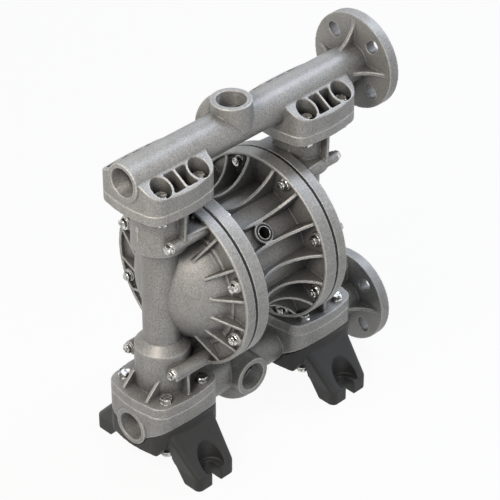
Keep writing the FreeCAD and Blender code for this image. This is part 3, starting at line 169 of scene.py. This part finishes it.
def sand_cast(name, dark, light, rough=0.44):
    """Cast metal with clouds, grains, painted highlights on edges and painted shade in hollows.
    """
    material, tree, shader, place = new_material(name)
    cloud = add(tree, "TexNoise", {"Vector": place}, Scale=1 / (CLOUD_MM * MM), Detail=4.0,
                Roughness=NOISE_ROUGHNESS).outputs["Fac"]
    grain = add(tree, "TexNoise", {"Vector": place}, Scale=1 / (GRAIN_MM * MM), Detail=2.0,
                Roughness=NOISE_ROUGHNESS).outputs["Fac"]
    # Pointiness, used below for a painted highlight on edges and painted shade in corners.
    bend = add(tree, "NewGeometry").outputs["Pointiness"]
    # Ambient occlusion, used below as painted shade in bays, wells and bores.
    occlusion_shade = add(tree, "AmbientOcclusion", samples=PAINTED_SHADE_SAMPLES, only_local=True,
                 Distance=PAINTED_SHADE_REACH_MM * MM).outputs["AO"]
    colour = add(tree, "ValToRGB", {"Fac": cloud},
                 stops=((CLOUD_LOW, dark), (CLOUD_HIGH, light))).outputs["Color"]
    # The grain is the metal's own tone; the other two factors paint highlight and shade.
    for value, levels, shades in ((grain, GRAIN_LEVELS, GRAIN_SHADES),
                                  (bend, EDGE_LEVELS, EDGE_HIGHLIGHT_AND_SHADE),
                                  (occlusion_shade, OCCLUSION_LEVELS, PAINTED_SHADE_RANGE)):
        factor = add(tree, "MapRange", {"Value": value}, From_Min=levels[0],
                     From_Max=levels[1], To_Min=shades[0], To_Max=shades[1])
        colour = add(tree, "VectorMath", {0: colour, 1: factor.outputs[0]},
                     operation="MULTIPLY").outputs[0]
    uneven = add(tree, "MapRange", {"Value": grain}, From_Min=NOISE_LOW, From_Max=NOISE_HIGH,
                 To_Min=rough - 0.07, To_Max=rough + 0.1)
    bump = add(tree, "Bump", {"Height": grain}, Strength=0.7, Distance=0.4 * MM)
    tree.links.new(colour, shader.inputs["Base Color"])
    tree.links.new(uneven.outputs[0], shader.inputs["Roughness"])
    tree.links.new(bump.outputs[0], shader.inputs["Normal"])
    shader.inputs["Metallic"].default_value = METAL_SHARE
    return material


cast_aluminium = sand_cast("sand_cast_aluminium", "#8f8e8b", "#989794")
print("made", cast_aluminium.name)

# %% [markdown]
# ## Metals that are cut or plated
#
# Bolts are bright zinc plated steel, whose film runs at random from dark to near white as a
# painted reflection. Shafts, balls and plates are ground or turned, and the bushes are bronze.
# A metal has its metallic value at 1 and shows its surroundings, so what tells one from another
# is its tint and how rough it is. Plated bolts also get painted shade in creases, as under the
# head.


# %% Materials: plated, ground and machined metal
FILM_TO_STREAK = 6
# Pointiness levels between which creases get painted shade.
CREASE_LOW, CREASE_HIGH = 0.42, 0.5


def cut_metal(name, dark, light, rough, streak_mm, painted_crease_shade=1.0):
    """Bright metal with a cloudy film, fine streaks and painted shade in creases where asked."""
    material, tree, shader, place = new_material(name)
    film = add(tree, "TexNoise", {"Vector": place}, Scale=1 / (streak_mm * FILM_TO_STREAK * MM),
               Detail=2.0, Roughness=NOISE_ROUGHNESS).outputs["Fac"]
    streak = add(tree, "TexNoise", {"Vector": place}, Scale=1 / (streak_mm * MM), Detail=2.0,
                 Roughness=NOISE_ROUGHNESS).outputs["Fac"]
    bend = add(tree, "NewGeometry").outputs["Pointiness"]
    tinted = add(tree, "ValToRGB", {"Fac": film}, stops=((NOISE_LOW, dark), (NOISE_HIGH, light)))
    # Painted shade in creases, where pointiness is low.
    crease_shade = add(tree, "MapRange", {"Value": bend}, From_Min=CREASE_LOW,
                 From_Max=CREASE_HIGH, To_Min=painted_crease_shade, To_Max=1.0)
    colour = add(tree, "VectorMath", {0: tinted.outputs["Color"], 1: crease_shade.outputs[0]},
                 operation="MULTIPLY")
    uneven = add(tree, "MapRange", {"Value": streak}, From_Min=NOISE_LOW, From_Max=NOISE_HIGH,
                 To_Min=rough * 0.8, To_Max=rough * 1.25)
    bump = add(tree, "Bump", {"Height": streak}, Strength=0.15, Distance=0.05 * MM)
    tree.links.new(colour.outputs[0], shader.inputs["Base Color"])
    tree.links.new(uneven.outputs[0], shader.inputs["Roughness"])
    tree.links.new(bump.outputs[0], shader.inputs["Normal"])
    shader.inputs["Metallic"].default_value = 1.0
    return material


# The bolts' film, dark to near white, is a painted reflection; their creases get painted shade.
zinc_plate = cut_metal("zinc_plated_steel", "#4c4c4a", "#f4f3ef", 0.2, 0.8, 0.2)
ground_stainless = cut_metal("ground_stainless_steel", "#b9bab9", "#d2d2d0", 0.2, 0.6)
plated_sheet = cut_metal("zinc_plated_plate", "#a8a9a8", "#c3c3c0", 0.35, 1.0)
bronze = cut_metal("machined_bronze", "#a87c45", "#c0965a", 0.32, 0.8)
anodised = cut_metal("hard_anodised_aluminium", "#75736f", "#8a8884", 0.4, 0.8)
machined = cut_metal("machined_aluminium", "#a9a8a4", "#dad9d5", 0.3, 0.8)
print("made six cut or plated metals")

# %% [markdown]
# ## Black paint, rubber and porous plastic
#
# The feet are castings under matte black paint, which keeps a soft version of the sand grain
# and shows a dark grey, not a true black. Rubber is blacker and duller. The silencer is
# sintered plastic, whose pores are drawn a millimetre apart.


# %% Materials: paint, rubber and plastic
def dull_coat(name, dark, light, rough, grain_mm, depth_mm, specular):
    """A coat or a moulding with clouds, grains and little gloss."""
    material, tree, shader, place = new_material(name)
    cloud = add(tree, "TexNoise", {"Vector": place}, Scale=1 / (CLOUD_MM * MM), Detail=3.0,
                Roughness=NOISE_ROUGHNESS).outputs["Fac"]
    grain = add(tree, "TexNoise", {"Vector": place}, Scale=1 / (grain_mm * MM), Detail=2.0,
                Roughness=NOISE_ROUGHNESS).outputs["Fac"]
    base = add(tree, "ValToRGB", {"Fac": cloud}, stops=((CLOUD_LOW, dark), (CLOUD_HIGH, light)))
    tone = add(tree, "MapRange", {"Value": grain}, From_Min=NOISE_LOW, From_Max=NOISE_HIGH,
               To_Min=0.9, To_Max=1.1)
    colour = add(tree, "VectorMath", {0: base.outputs["Color"], 1: tone.outputs[0]},
                 operation="MULTIPLY")
    uneven = add(tree, "MapRange", {"Value": grain}, From_Min=NOISE_LOW, From_Max=NOISE_HIGH,
                 To_Min=rough - 0.05, To_Max=rough + 0.08)
    bump = add(tree, "Bump", {"Height": grain}, Strength=0.4, Distance=depth_mm * MM)
    tree.links.new(colour.outputs[0], shader.inputs["Base Color"])
    tree.links.new(uneven.outputs[0], shader.inputs["Roughness"])
    tree.links.new(bump.outputs[0], shader.inputs["Normal"])
    shader.inputs["Specular IOR Level"].default_value = specular
    return material


black_paint = dull_coat("matte_black_paint", "#353534", "#3b3b3a", 0.5, 1.5, 0.15, 0.4)
rubber = dull_coat("moulded_rubber", "#161617", "#1d1d1e", 0.6, 1.2, 0.1, 0.4)
sintered = dull_coat("sintered_plastic", "#232325", "#2d2d2f", 0.8, 1.0, 0.4, 0.3)
print("made paint, rubber and sintered plastic")

# %% [markdown]
# ## Every piece of the construction gets its finish
#
# The record says which slot each node belongs to. A table turns slots into materials, so that
# even the balls and seats inside, which only an open pump would show, look right.

# %% Dress the construction
FINISH = {
    "cast_aluminium": cast_aluminium, "painted_foot": black_paint, "zinc_steel": zinc_plate,
    "diaphragm_rubber": rubber, "seal_rubber": rubber, "valve_stainless": ground_stainless,
    "plate_steel": plated_sheet, "shaft_steel": ground_stainless, "bush_bronze": bronze,
    "spool_aluminium": anodised, "silencer_plastic": sintered}

for entry in frame["record"]["subparts"]:
    mesh = nodes[entry["node"]].data
    mesh.materials.clear()
    mesh.materials.append(FINISH[entry["material_slot"]])

# %% [markdown]
# ## Soft edges for the castings
#
# A casting has no sharp edge: sand cannot hold one, and each inside corner has a fillet so
# that the metal flows. Bevelling hundreds of edges one by one would be fragile. Instead the
# node's own mesh is copied, made again from small cubes and relaxed a few times, which
# rounds every edge and fills every corner by about a millimetre. A last step drops the
# triangles that flat areas don't need.

# %% Functions for soft castings
MOST_TRIANGLES = 190000
MERGE = 0.001 * MM


def show(name, mesh, material, body):
    """A finished mesh as a piece that rides on a body, if one is given."""
    piece = bpy.data.objects.new(name, mesh)
    mesh.materials.clear()
    mesh.materials.append(material)
    scene.collection.objects.link(piece)
    if body:
        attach(piece, body)
    return piece


def with_modifiers(mesh, *steps):
    """The mesh that a few modifiers make of a mesh."""
    helper = bpy.data.objects.new("helper", mesh)
    scene.collection.objects.link(helper)
    for kind, settings in steps:
        modifier = helper.modifiers.new(kind, kind)
        for name, value in settings.items():
            setattr(modifier, name, value)
    view = helper.evaluated_get(bpy.context.evaluated_depsgraph_get())
    made = bpy.data.meshes.new_from_object(view)
    bpy.data.objects.remove(helper)
    bpy.data.meshes.remove(mesh)
    return made


def soft_casting(node, cube_mm, relaxing, material):
    """A rounded copy of a casting, which stands for its node."""
    form = bmesh.new()
    form.from_mesh(nodes[node].data)
    bmesh.ops.remove_doubles(form, verts=form.verts, dist=MERGE)
    mesh = bpy.data.meshes.new(node + "_form")
    form.to_mesh(mesh)
    form.free()
    cubes = ("REMESH", {"mode": "VOXEL", "voxel_size": cube_mm * MM})
    relax = ("SMOOTH", {"factor": 0.5, "iterations": relaxing})
    mesh = with_modifiers(mesh, cubes, relax)
    triangles = 2 * len(mesh.polygons)
    if triangles > MOST_TRIANGLES:
        mesh = with_modifiers(mesh, ("DECIMATE", {"ratio": MOST_TRIANGLES / triangles}))
    mesh.name = node + "_casting"
    mesh.shade_smooth()
    piece = show(node + "_casting", mesh, material, "housing")
    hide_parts(node)
    print(node, "from", triangles, "to", len(mesh.polygons), "faces")


print("a casting may have", MOST_TRIANGLES, "triangles")

# %% The castings
CUBE_MM = 1.2
METAL_RELAXING = 2
PAINT_RELAXING = 7
for node in ("center_housing", "left_fluid_cap", "right_fluid_cap",
             "upper_manifold", "lower_manifold"):
    soft_casting(node, CUBE_MM, METAL_RELAXING, cast_aluminium)
for node in ("left_foot", "right_foot"):
    soft_casting(node, CUBE_MM, PAINT_RELAXING, black_paint)

# %% [markdown]
# ## Where the bolts are
#
# A node holds all bolts of one ring or manifold, and the place of each is read from the frame
# and not typed. Vertices that are joined by edges belong to one solid, so a walk along the
# edges gathers each bolt, and its lowest and highest corners give its seat and its length.


# %% A function that parts a node into its solids
def solids(node):
    """The lowest and highest corner of each separate solid of a node."""
    form = bmesh.new()
    form.from_mesh(nodes[node].data)
    bmesh.ops.remove_doubles(form, verts=form.verts, dist=MERGE)
    waiting = set(form.verts)
    found = []
    while waiting:
        group = [waiting.pop()]
        for vertex in group:
            for edge in vertex.link_edges:
                other = edge.other_vert(vertex)
                if other in waiting:
                    waiting.remove(other)
                    group.append(other)
        corners = [[pick(v.co[k] for v in group) for k in range(3)] for pick in (min, max)]
        found.append((Vector(corners[0]), Vector(corners[1])))
    form.free()
    return sorted(found, key=lambda pair: tuple(pair[0]))


print("left ring:", len(solids("left_ring_bolts")), "bolts")

# %% [markdown]
# ## Turned shapes and hexagons
#
# A hexagon head is a bar of hexagon stock whose end was turned to a cone, so its corners are
# cut and its flats end in curves. Here a circle of vertices is extruded up ring by ring, and
# a ring may be pushed out onto the hexagon. Drawn in to a circle again, it gives that curved
# chamfer without any boolean. A ring is a height and a radius, or a height and the width
# across the hexagon's flats with a minus sign.

# %% A function for turned shapes
HEX_STEPS = 48


def hexagon_reach(flats, angle):
    """How far a hexagon reaches at an angle."""
    side = math.radians(60)
    return flats / 2 / math.cos((angle + side / 2) % side - side / 2)


def turned(form, rings):
    """A closed shape round the Z axis, through rings of (height, radius or -flats)."""
    ring = bmesh.ops.create_circle(form, segments=HEX_STEPS, radius=1.0)["verts"]
    edges = {edge for vertex in ring for edge in vertex.link_edges}
    bmesh.ops.contextual_create(form, geom=list(edges))
    for index, (height, reach) in enumerate(rings):
        if index:
            step = bmesh.ops.extrude_edge_only(form, edges=list(edges))["geom"]
            ring = [item for item in step if isinstance(item, bmesh.types.BMVert)]
            edges = {item for item in step if isinstance(item, bmesh.types.BMEdge)}
        for vertex in ring:
            angle = math.atan2(vertex.co.y, vertex.co.x)
            far = hexagon_reach(-reach, angle) if reach < 0 else reach
            vertex.co = (far * math.cos(angle), far * math.sin(angle), height)
    bmesh.ops.contextual_create(form, geom=list(edges))


print("corner of a 13 mm hexagon:", round(hexagon_reach(13, math.radians(30)), 2), "mm")

# %% [markdown]
# ## A bolt and a nut
#
# Under the hexagon sits a round collar, which spreads the load on soft aluminium. The shank is
# plain for a part of its length and then threaded, and a stack of wide and narrow rings is
# enough for a thread that is nearly always hidden. The chamfer is a share of the width across
# the flats, and the thread's length and pitch follow from the shank's radius.

# %% Functions for a bolt and a nut
CHAMFER_SHARE = 0.06
TOP_SHARE = 0.47
BROKEN_EDGE = 0.25 * MM
THREADED_RADII = 2.6
PITCHES_IN_RADIUS = 3.2
CORE_SHARE = 0.86


def bolt_form(flats, head, collar, collar_thick, shank, length):
    """A bolt along Z with its head's seat at 0 and its shank below, all in metres."""
    form = bmesh.new()
    turned(form, [(0, collar * 0.98), (BROKEN_EDGE, collar),
                  (collar_thick - BROKEN_EDGE * 2, collar), (collar_thick, collar * 0.93)])
    cut = flats * CHAMFER_SHARE
    top = collar_thick + head
    turned(form, [(collar_thick, -flats), (top - cut, -flats), (top, flats * TOP_SHARE),
                  (top - BROKEN_EDGE, flats * 0.42), (top - BROKEN_EDGE * 1.6, flats * 0.3)])
    plain = shank * THREADED_RADII - length
    pitch = shank / PITCHES_IN_RADIUS
    rings = [(0, shank), (plain, shank)]
    depth = plain
    while depth > -length + pitch * 1.5:
        rings += [(depth - pitch / 2, shank * CORE_SHARE), (depth - pitch, shank)]
        depth -= pitch
    rings.append((-length, shank * 0.8))
    turned(form, rings[::-1])
    return form


def nut_form(flats, height, collar, collar_thick):
    """A collared nut along Z, its seat at 0 and its far end below."""
    form = bmesh.new()
    cut = flats * CHAMFER_SHARE
    turned(form, [(-height, flats * 0.3), (-height, flats * TOP_SHARE), (-height + cut, -flats),
                  (-collar_thick, -flats)])
    turned(form, [(-collar_thick, collar * 0.93), (-collar_thick * 0.6, collar),
                  (-collar_thick * 0.15, collar), (0, collar * 0.98)])
    return form


trial = bolt_form(13 * MM, 5.3 * MM, 8 * MM, 1.6 * MM, 4 * MM, 40 * MM)
print("one bolt:", len(trial.faces), "faces")
trial.free()

# %% [markdown]
# ## Copies in their places
#
# Equal bolts share one form, which is copied to each place and joined into a single piece. A
# place is a matrix whose Z axis points along the bolt. The copies carry their places in their
# vertices, and the piece stands for the plain node.

# %% Functions for places and copies
SHARP_DEGREES = 28


def place_forms(name, form, matrices, material, body, node):
    """Copies of one form at several places as a single piece, in place of a node."""
    single = bpy.data.meshes.new(name + "_single")
    bmesh.ops.recalc_face_normals(form, faces=form.faces)
    form.to_mesh(single)
    form.free()
    group = bmesh.new()
    for matrix in matrices:
        copy = single.copy()
        copy.transform(matrix)
        group.from_mesh(copy)
        bpy.data.meshes.remove(copy)
    mesh = bpy.data.meshes.new(name)
    group.to_mesh(mesh)
    group.free()
    bpy.data.meshes.remove(single)
    mesh.shade_smooth()
    mesh.set_sharp_from_angle(angle=math.radians(SHARP_DEGREES))
    piece = show(name, mesh, material, body)
    if node:
        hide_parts(node)
    return piece


def aim(point, direction, turn=0.0):
    """A place whose Z axis points in a direction."""
    spin = Matrix.Rotation(math.radians(turn), 4, "Z")
    tilt = direction.to_track_quat("Z", "Y").to_matrix().to_4x4()
    return Matrix.Translation(point) @ tilt @ spin


print("straight up is", [list(row) for row in aim(Vector((0, 0, 0)), Vector((0, 0, 1)))][2])

# %% [markdown]
# ## Bolts and nuts of the rings and the manifolds
#
# Each rim is held by eight M8 bolts with 13 mm heads, and each manifold by eight M10 bolts
# with 17 mm heads. No two real bolts stop at the same angle, so each copy is turned a little
# further than the one before.

# %% Ring and manifold bolts
RING_BOLT = {"flats": 13 * MM, "head": 5.3 * MM, "collar": 8 * MM, "collar_thick": 1.6 * MM,
             "shank": 4 * MM}
PAD_BOLT = {"flats": 17 * MM, "head": 6.4 * MM, "collar": 10.5 * MM,
            "collar_thick": 1.6 * MM, "shank": 5 * MM}
TURN_STEP = 23.0


def dress_bolts(node, sizes, direction):
    """Detailed bolts where the node has plain ones, each turned a little further."""
    axis = max(range(3), key=lambda k: abs(direction[k]))
    lengths = {}
    for low, high in solids(node):
        length = high[axis] - low[axis] - sizes["head"] - sizes["collar_thick"]
        lengths.setdefault(round(length, 5), []).append((low, high))
    for index, (length, pairs) in enumerate(sorted(lengths.items())):
        matrices = []
        for count, (low, high) in enumerate(pairs):
            seat = (low + high) / 2
            end = high[axis] if direction[axis] > 0 else low[axis]
            seat[axis] = end - direction[axis] * (sizes["head"] + sizes["collar_thick"])
            matrices.append(aim(seat, direction, TURN_STEP * count))
        name = f"{node}_{index}" if index else f"{node}_hex"
        place_forms(name, bolt_form(length=length, **sizes), matrices, zinc_plate, "housing",
                    node)
    print(node, {length: len(pairs) for length, pairs in lengths.items()})


def dress_nuts(node, sizes, direction):
    """Detailed nuts where the node has plain ones."""
    axis = max(range(3), key=lambda k: abs(direction[k]))
    matrices = []
    for count, (low, high) in enumerate(solids(node)):
        height = high[axis] - low[axis]
        seat = (low + high) / 2
        seat[axis] = high[axis] if direction[axis] > 0 else low[axis]
        matrices.append(aim(seat, direction, TURN_STEP * count))
    form = nut_form(sizes["flats"], height, sizes["collar"], sizes["collar_thick"])
    place_forms(node + "_hex", form, matrices, zinc_plate, "housing", node)
    print(node, len(matrices), "nuts")


OUTWARD = {"left": Vector((-1, 0, 0)), "right": Vector((1, 0, 0))}
for side, way in OUTWARD.items():
    dress_bolts(f"{side}_ring_bolts", RING_BOLT, way)
    dress_nuts(f"{side}_ring_nuts", RING_BOLT, way)
for level in ("upper", "lower"):
    dress_bolts(f"{level}_pad_bolts", PAD_BOLT, Vector((0, 0, 1)))
    dress_nuts(f"{level}_pad_nuts", PAD_BOLT, Vector((0, 0, 1)))

# %% [markdown]
# ## Diaphragms cut into sectors
#
# A diaphragm is held between two rims outside and between two plates inside, and the fold
# between them rolls as the shaft moves. Here the disc is only cut like a cake: each sector is
# closed where it was cut and is a piece of its own, which rides on no body.

# %% Diaphragms
SECTORS = 12


def cut_sector(node, centre, middle):
    """One sector of a disc round the X axis, closed where it was cut."""
    form = bmesh.new()
    form.from_mesh(nodes[node].data)
    bmesh.ops.remove_doubles(form, verts=form.verts, dist=MERGE)
    for turn in (-1, 1):
        edge = middle + turn * math.pi / SECTORS
        away = Vector((0, -math.sin(edge), math.cos(edge))) * turn
        made = bmesh.ops.bisect_plane(form, geom=form.verts[:] + form.edges[:] + form.faces[:],
                                      plane_co=centre, plane_no=away, clear_outer=True)
        cut = [item for item in made["geom_cut"] if isinstance(item, bmesh.types.BMEdge)]
        bmesh.ops.holes_fill(form, edges=cut, sides=0)
    return form


for side in OUTWARD:
    node = side + "_diaphragm"
    low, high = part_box(node)
    centre = (Vector(low) + Vector(high)) / 2
    for index in range(SECTORS):
        middle = math.tau * index / SECTORS
        piece = place_forms(f"{node}_{index + 1}", cut_sector(node, centre, middle),
                            [Matrix.Identity(4)], rubber, None, node)
        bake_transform(piece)
    print(node, "in", SECTORS, "sectors")

# %% [markdown]
# ## Threads in the ports
#
# A tapped hole shows a fine helical ridge. Its section is a small tooth on the wall of the
# bore, which is swept round the axis while it sinks by one pitch a turn. The place, the axis
# and the bore of each port come from the record's mounts. Pipe threads of this size have
# 11 turns to the inch, and the smaller air port has 14.

# %% Threads of the ports
INCH = 25.4 * MM
PORT_PITCH = INCH / 11
AIR_PITCH = INCH / 14
TURN_STEPS = 32
ROOT_DEPTH = 0.3 * MM
TOOTH_SHARE = 0.35


def swept(points, turns, pitch, form):
    """An outline (radius, height) swept round the Z axis, sinking by a pitch each turn."""
    made = [form.verts.new((radius, 0, height)) for radius, height in points]
    edges = [form.edges.new(pair) for pair in zip(made, made[1:])]
    bmesh.ops.spin(form, geom=made + edges, cent=(0, 0, 0), axis=(0, 0, 1),
                   dvec=(0, 0, -pitch / TURN_STEPS), angle=math.tau * turns,
                   steps=TURN_STEPS * turns, use_merge=pitch == 0)


def thread_form(bore, length, pitch):
    """The ridge of an inner thread, from the mouth at half the length down."""
    form = bmesh.new()
    root = bore + ROOT_DEPTH
    crest = bore - pitch * TOOTH_SHARE
    top = length / 2 - pitch * 0.3
    tooth = [(root, top), (crest, top - pitch * 0.45), (crest, top - pitch * 0.55),
             (root, top - pitch)]
    swept(tooth, int(length / pitch) - 1, pitch, form)
    return form


for mount in frame["record"]["mounts"]:
    if mount["kind"] != "threaded_hole":
        continue
    pitch = AIR_PITCH if mount["name"] == "air_inlet" else PORT_PITCH
    form = thread_form(mount["dims"]["r_mm"] * MM, mount["dims"]["length_mm"] * MM, pitch)
    place = aim(Vector(mount["pos_m"]), Vector(mount["axis"]))
    place_forms(mount["name"] + "_thread", form, [place], cast_aluminium, "housing",
                None)
print("threads cut")

# %% [markdown]
# ## The air inlet's fitting
#
# A black insert fills the mouth of the air inlet. It has a broad flat rim, a bright wire
# ring inside the rim, a smooth lining and a dark floor. Each is a plain ring with broken
# edges, turned from an outline of the same kind.

# %% Air inlet rings
def ring_form(inner, outer, low, high):
    """A plain ring with slightly broken edges."""
    cut = (outer - inner) * 0.15
    form = bmesh.new()
    swept([(inner, low), (outer - cut, low), (outer, low + cut), (outer, high - cut),
           (outer - cut, high), (inner + cut, high), (inner, high - cut), (inner, low)],
          1, 0, form)
    return form


INSERT_RINGS = {
    "air_inlet_rim": (10.1, 13.2, -0.5, 0.7, rubber, "seal_rubber"),
    "air_inlet_wire": (9.2, 10.0, -1.2, 0.3, machined, "valve_stainless"),
    "air_inlet_lining": (9.3, 9.9, -19.0, -1.3, rubber, "seal_rubber"),
    "air_inlet_floor": (2.0, 9.6, -19.4, -18.8, rubber, "seal_rubber")}
inlet = next(m for m in frame["record"]["mounts"] if m["name"] == "air_inlet")
outward = Vector(inlet["axis"])
mouth = aim(Vector(inlet["pos_m"]) + outward * inlet["dims"]["length_mm"] / 2 * MM, outward)
for name, (inner, outer, low, high, material, slot) in INSERT_RINGS.items():
    place_forms(name, ring_form(inner * MM, outer * MM, low * MM, high * MM), [mouth],
                material, "housing", None)
print("air inlet rings:", list(INSERT_RINGS))

# %% [markdown]
# ## The exhaust silencer
#
# A screwed silencer has a spigot, a hexagon to turn it by and a porous body with shallow
# rings. Each of the three is a turned shape, and the middle one is pushed out to the hexagon.

# %% Exhaust silencer
SILENCER_LENGTH = 38 * MM
SILENCER_RADIUS = 12 * MM
SILENCER_FLATS = 24 * MM
HEX_HEIGHT = 7 * MM
SPIGOT_LENGTH = 12 * MM
SPIGOT_RADIUS = 7.4 * MM
RING_STEP = 3.2 * MM
GROOVE_RADIUS = SILENCER_RADIUS * 0.93
form = bmesh.new()
turned(form, [(-SPIGOT_LENGTH, SPIGOT_RADIUS), (0, SPIGOT_RADIUS + 0.5 * MM)])
turned(form, [(0, -SILENCER_FLATS), (HEX_HEIGHT, -SILENCER_FLATS)])
rings = [(HEX_HEIGHT, SILENCER_RADIUS)]
height = HEX_HEIGHT + RING_STEP
while height < SILENCER_LENGTH - RING_STEP:
    rings += [(height - RING_STEP * 0.35, SILENCER_RADIUS),
              (height - RING_STEP * 0.2, GROOVE_RADIUS),
              (height, GROOVE_RADIUS), (height, SILENCER_RADIUS)]
    height += RING_STEP
rings += [(SILENCER_LENGTH - 2 * MM, SILENCER_RADIUS), (SILENCER_LENGTH, SILENCER_RADIUS * 0.8)]
turned(form, rings)
low, high = solids("exhaust_silencer")[0]
behind = Vector((0, 1, -1)).normalized()
seat = (low + high) / 2 - behind * (SILENCER_LENGTH - SPIGOT_LENGTH) / 2
place_forms("exhaust_silencer_ringed", form, [aim(seat, behind)], sintered, "housing",
            "exhaust_silencer")
print("silencer seat at", [round(value, 4) for value in seat])

# %% [markdown]
# ## Flow arrows
#
# A small raised arrow on the outer side of each upper valve housing shows that the fluid
# goes up. Its flat outline is bent round the housing and given a little height.

# %% Flow arrows
ARROW = [(-0.9, 0.0), (0.9, 0.0), (0.9, 17.0), (3.6, 17.0), (0.0, 27.0), (-3.6, 17.0),
         (-0.9, 17.0)]
ARROW_FOOT = 392.5 * MM
ARROW_RISE = 0.9 * MM
ARROW_SINK = 0.5 * MM
HOUSING_RADIUS = 41 * MM
COLUMN_X = 140.6 * MM
for side, way in OUTWARD.items():
    form = bmesh.new()
    outline = [form.verts.new((x * MM, z * MM, 0)) for x, z in ARROW]
    lower = form.faces.new(outline)
    risen = bmesh.ops.extrude_face_region(form, geom=[lower])["geom"]
    tops = {item for item in risen if isinstance(item, bmesh.types.BMVert)}
    for vertex in form.verts:
        reach = HOUSING_RADIUS + (ARROW_RISE if vertex in tops else -ARROW_SINK)
        around, up = vertex.co.x, vertex.co.y
        vertex.co = (way.x * (COLUMN_X + reach * math.cos(around / HOUSING_RADIUS)),
                     reach * math.sin(around / HOUSING_RADIUS), ARROW_FOOT + up)
    place_forms(side + "_flow_arrow", form, [Matrix.Identity(4)], cast_aluminium, "housing",
                None)
print("arrows on", list(OUTWARD))

# %% [markdown]
# ## The floor and the surround
#
# The pump stands on white paper in a white room. Floor and world are white to the camera, to
# reflections and through glass. To other light the floor is grey, so that undersides and deep
# bays stay dark, and the object keeps its own tones and its shadow. The floor lies a hair
# below the feet, so that the two never share a plane.

# %% Floor and surround
FLOOR_SIZE = 12.0
FLOOR_DROP = 0.2 * MM
SHADOW_SHARE = 0.06
WORLD_LEVEL = 0.15


def seen_rays(tree):
    """1 for rays from the camera, from a mirror or through glass, and 0 for other light."""
    path = add(tree, "LightPath")
    first = add(tree, "Math", {0: path.outputs["Is Camera Ray"],
                               1: path.outputs["Is Glossy Ray"]}, operation="MAXIMUM")
    both = add(tree, "Math", {0: first.outputs[0],
                              1: path.outputs["Is Transmission Ray"]}, operation="MAXIMUM")
    return both.outputs[0]


floor_form = bmesh.new()
bmesh.ops.create_grid(floor_form, x_segments=1, y_segments=1, size=FLOOR_SIZE)
floor_mesh = bpy.data.meshes.new("floor")
floor_form.to_mesh(floor_mesh)
floor_form.free()
floor = bpy.data.objects.new("floor", floor_mesh)
floor.location.z = -FLOOR_DROP
scene.collection.objects.link(floor)

paper = bpy.data.materials.new("white_paper")
paper.use_nodes = True
tree = paper.node_tree
tree.nodes.clear()
matte = add(tree, "BsdfDiffuse", Color=linear("#f2f2f2"))
bounce = add(tree, "BsdfDiffuse", Color=linear("#8a8a8a"))
glow = add(tree, "Emission", Color=linear("#ffffff"), Strength=1.0)
seen = add(tree, "MixShader", {1: glow.outputs[0], 2: matte.outputs[0]}, Fac=SHADOW_SHARE)
both = add(tree, "MixShader", {"Fac": seen_rays(tree), 1: bounce.outputs[0],
                               2: seen.outputs[0]})
add(tree, "OutputMaterial", {"Surface": both.outputs[0]})
floor_mesh.materials.append(paper)

world = bpy.data.worlds.new("white_surround")
scene.world = world
world.use_nodes = True
tree = world.node_tree
tree.nodes.clear()
soft = add(tree, "Background", Color=linear("#eef2f8"), Strength=WORLD_LEVEL)
white = add(tree, "Background", Color=linear("#ffffff"), Strength=1.0)
surround = add(tree, "MixShader", {"Fac": seen_rays(tree), 1: soft.outputs[0],
                                   2: white.outputs[0]})
add(tree, "OutputWorld", {"Surface": surround.outputs[0]})
print("made", paper.name, "and", world.name)

# %% [markdown]
# ## The lights
#
# Three cool lights stand on the right. The strongest is high up, where the near side of each
# round top mirrors it to the camera, one is further back and mirrors in the flat tops, and
# one is lower and strikes the flanks. A small warm light close by on the left strikes the
# dome and the columns, and a low one in front reaches under the body. Broad square lights
# are used, because they give metal soft highlights.


# %% Lights
def soft_box(name, place, width, power, colour):
    """A square light that points at the middle of the pump."""
    light = bpy.data.lights.new(name, "AREA")
    light.size = width
    light.energy = power
    light.color = linear(colour)[:3]
    lamp = bpy.data.objects.new(name, light)
    lamp.location = place
    lamp.rotation_euler = (TARGET - Vector(place)).to_track_quat("-Z", "Y").to_euler()
    scene.collection.objects.link(lamp)


soft_box("top_box", (1.45, -0.15, 2.2), 0.8, 19, "#e2ecff")
soft_box("back_box", (1.5, 1.5, 1.75), 1.0, 6, "#e2ecff")
soft_box("right_box", (1.8, -0.8, 1.3), 0.8, 6, "#e2ecff")
soft_box("left_box", (-0.95, -0.25, 1.15), 0.45, 9.5, "#fff6ec")
soft_box("front_box", (-1.3, -2.3, 0.5), 0.8, 6, "#f4f6ff")
print("lit by five soft boxes")
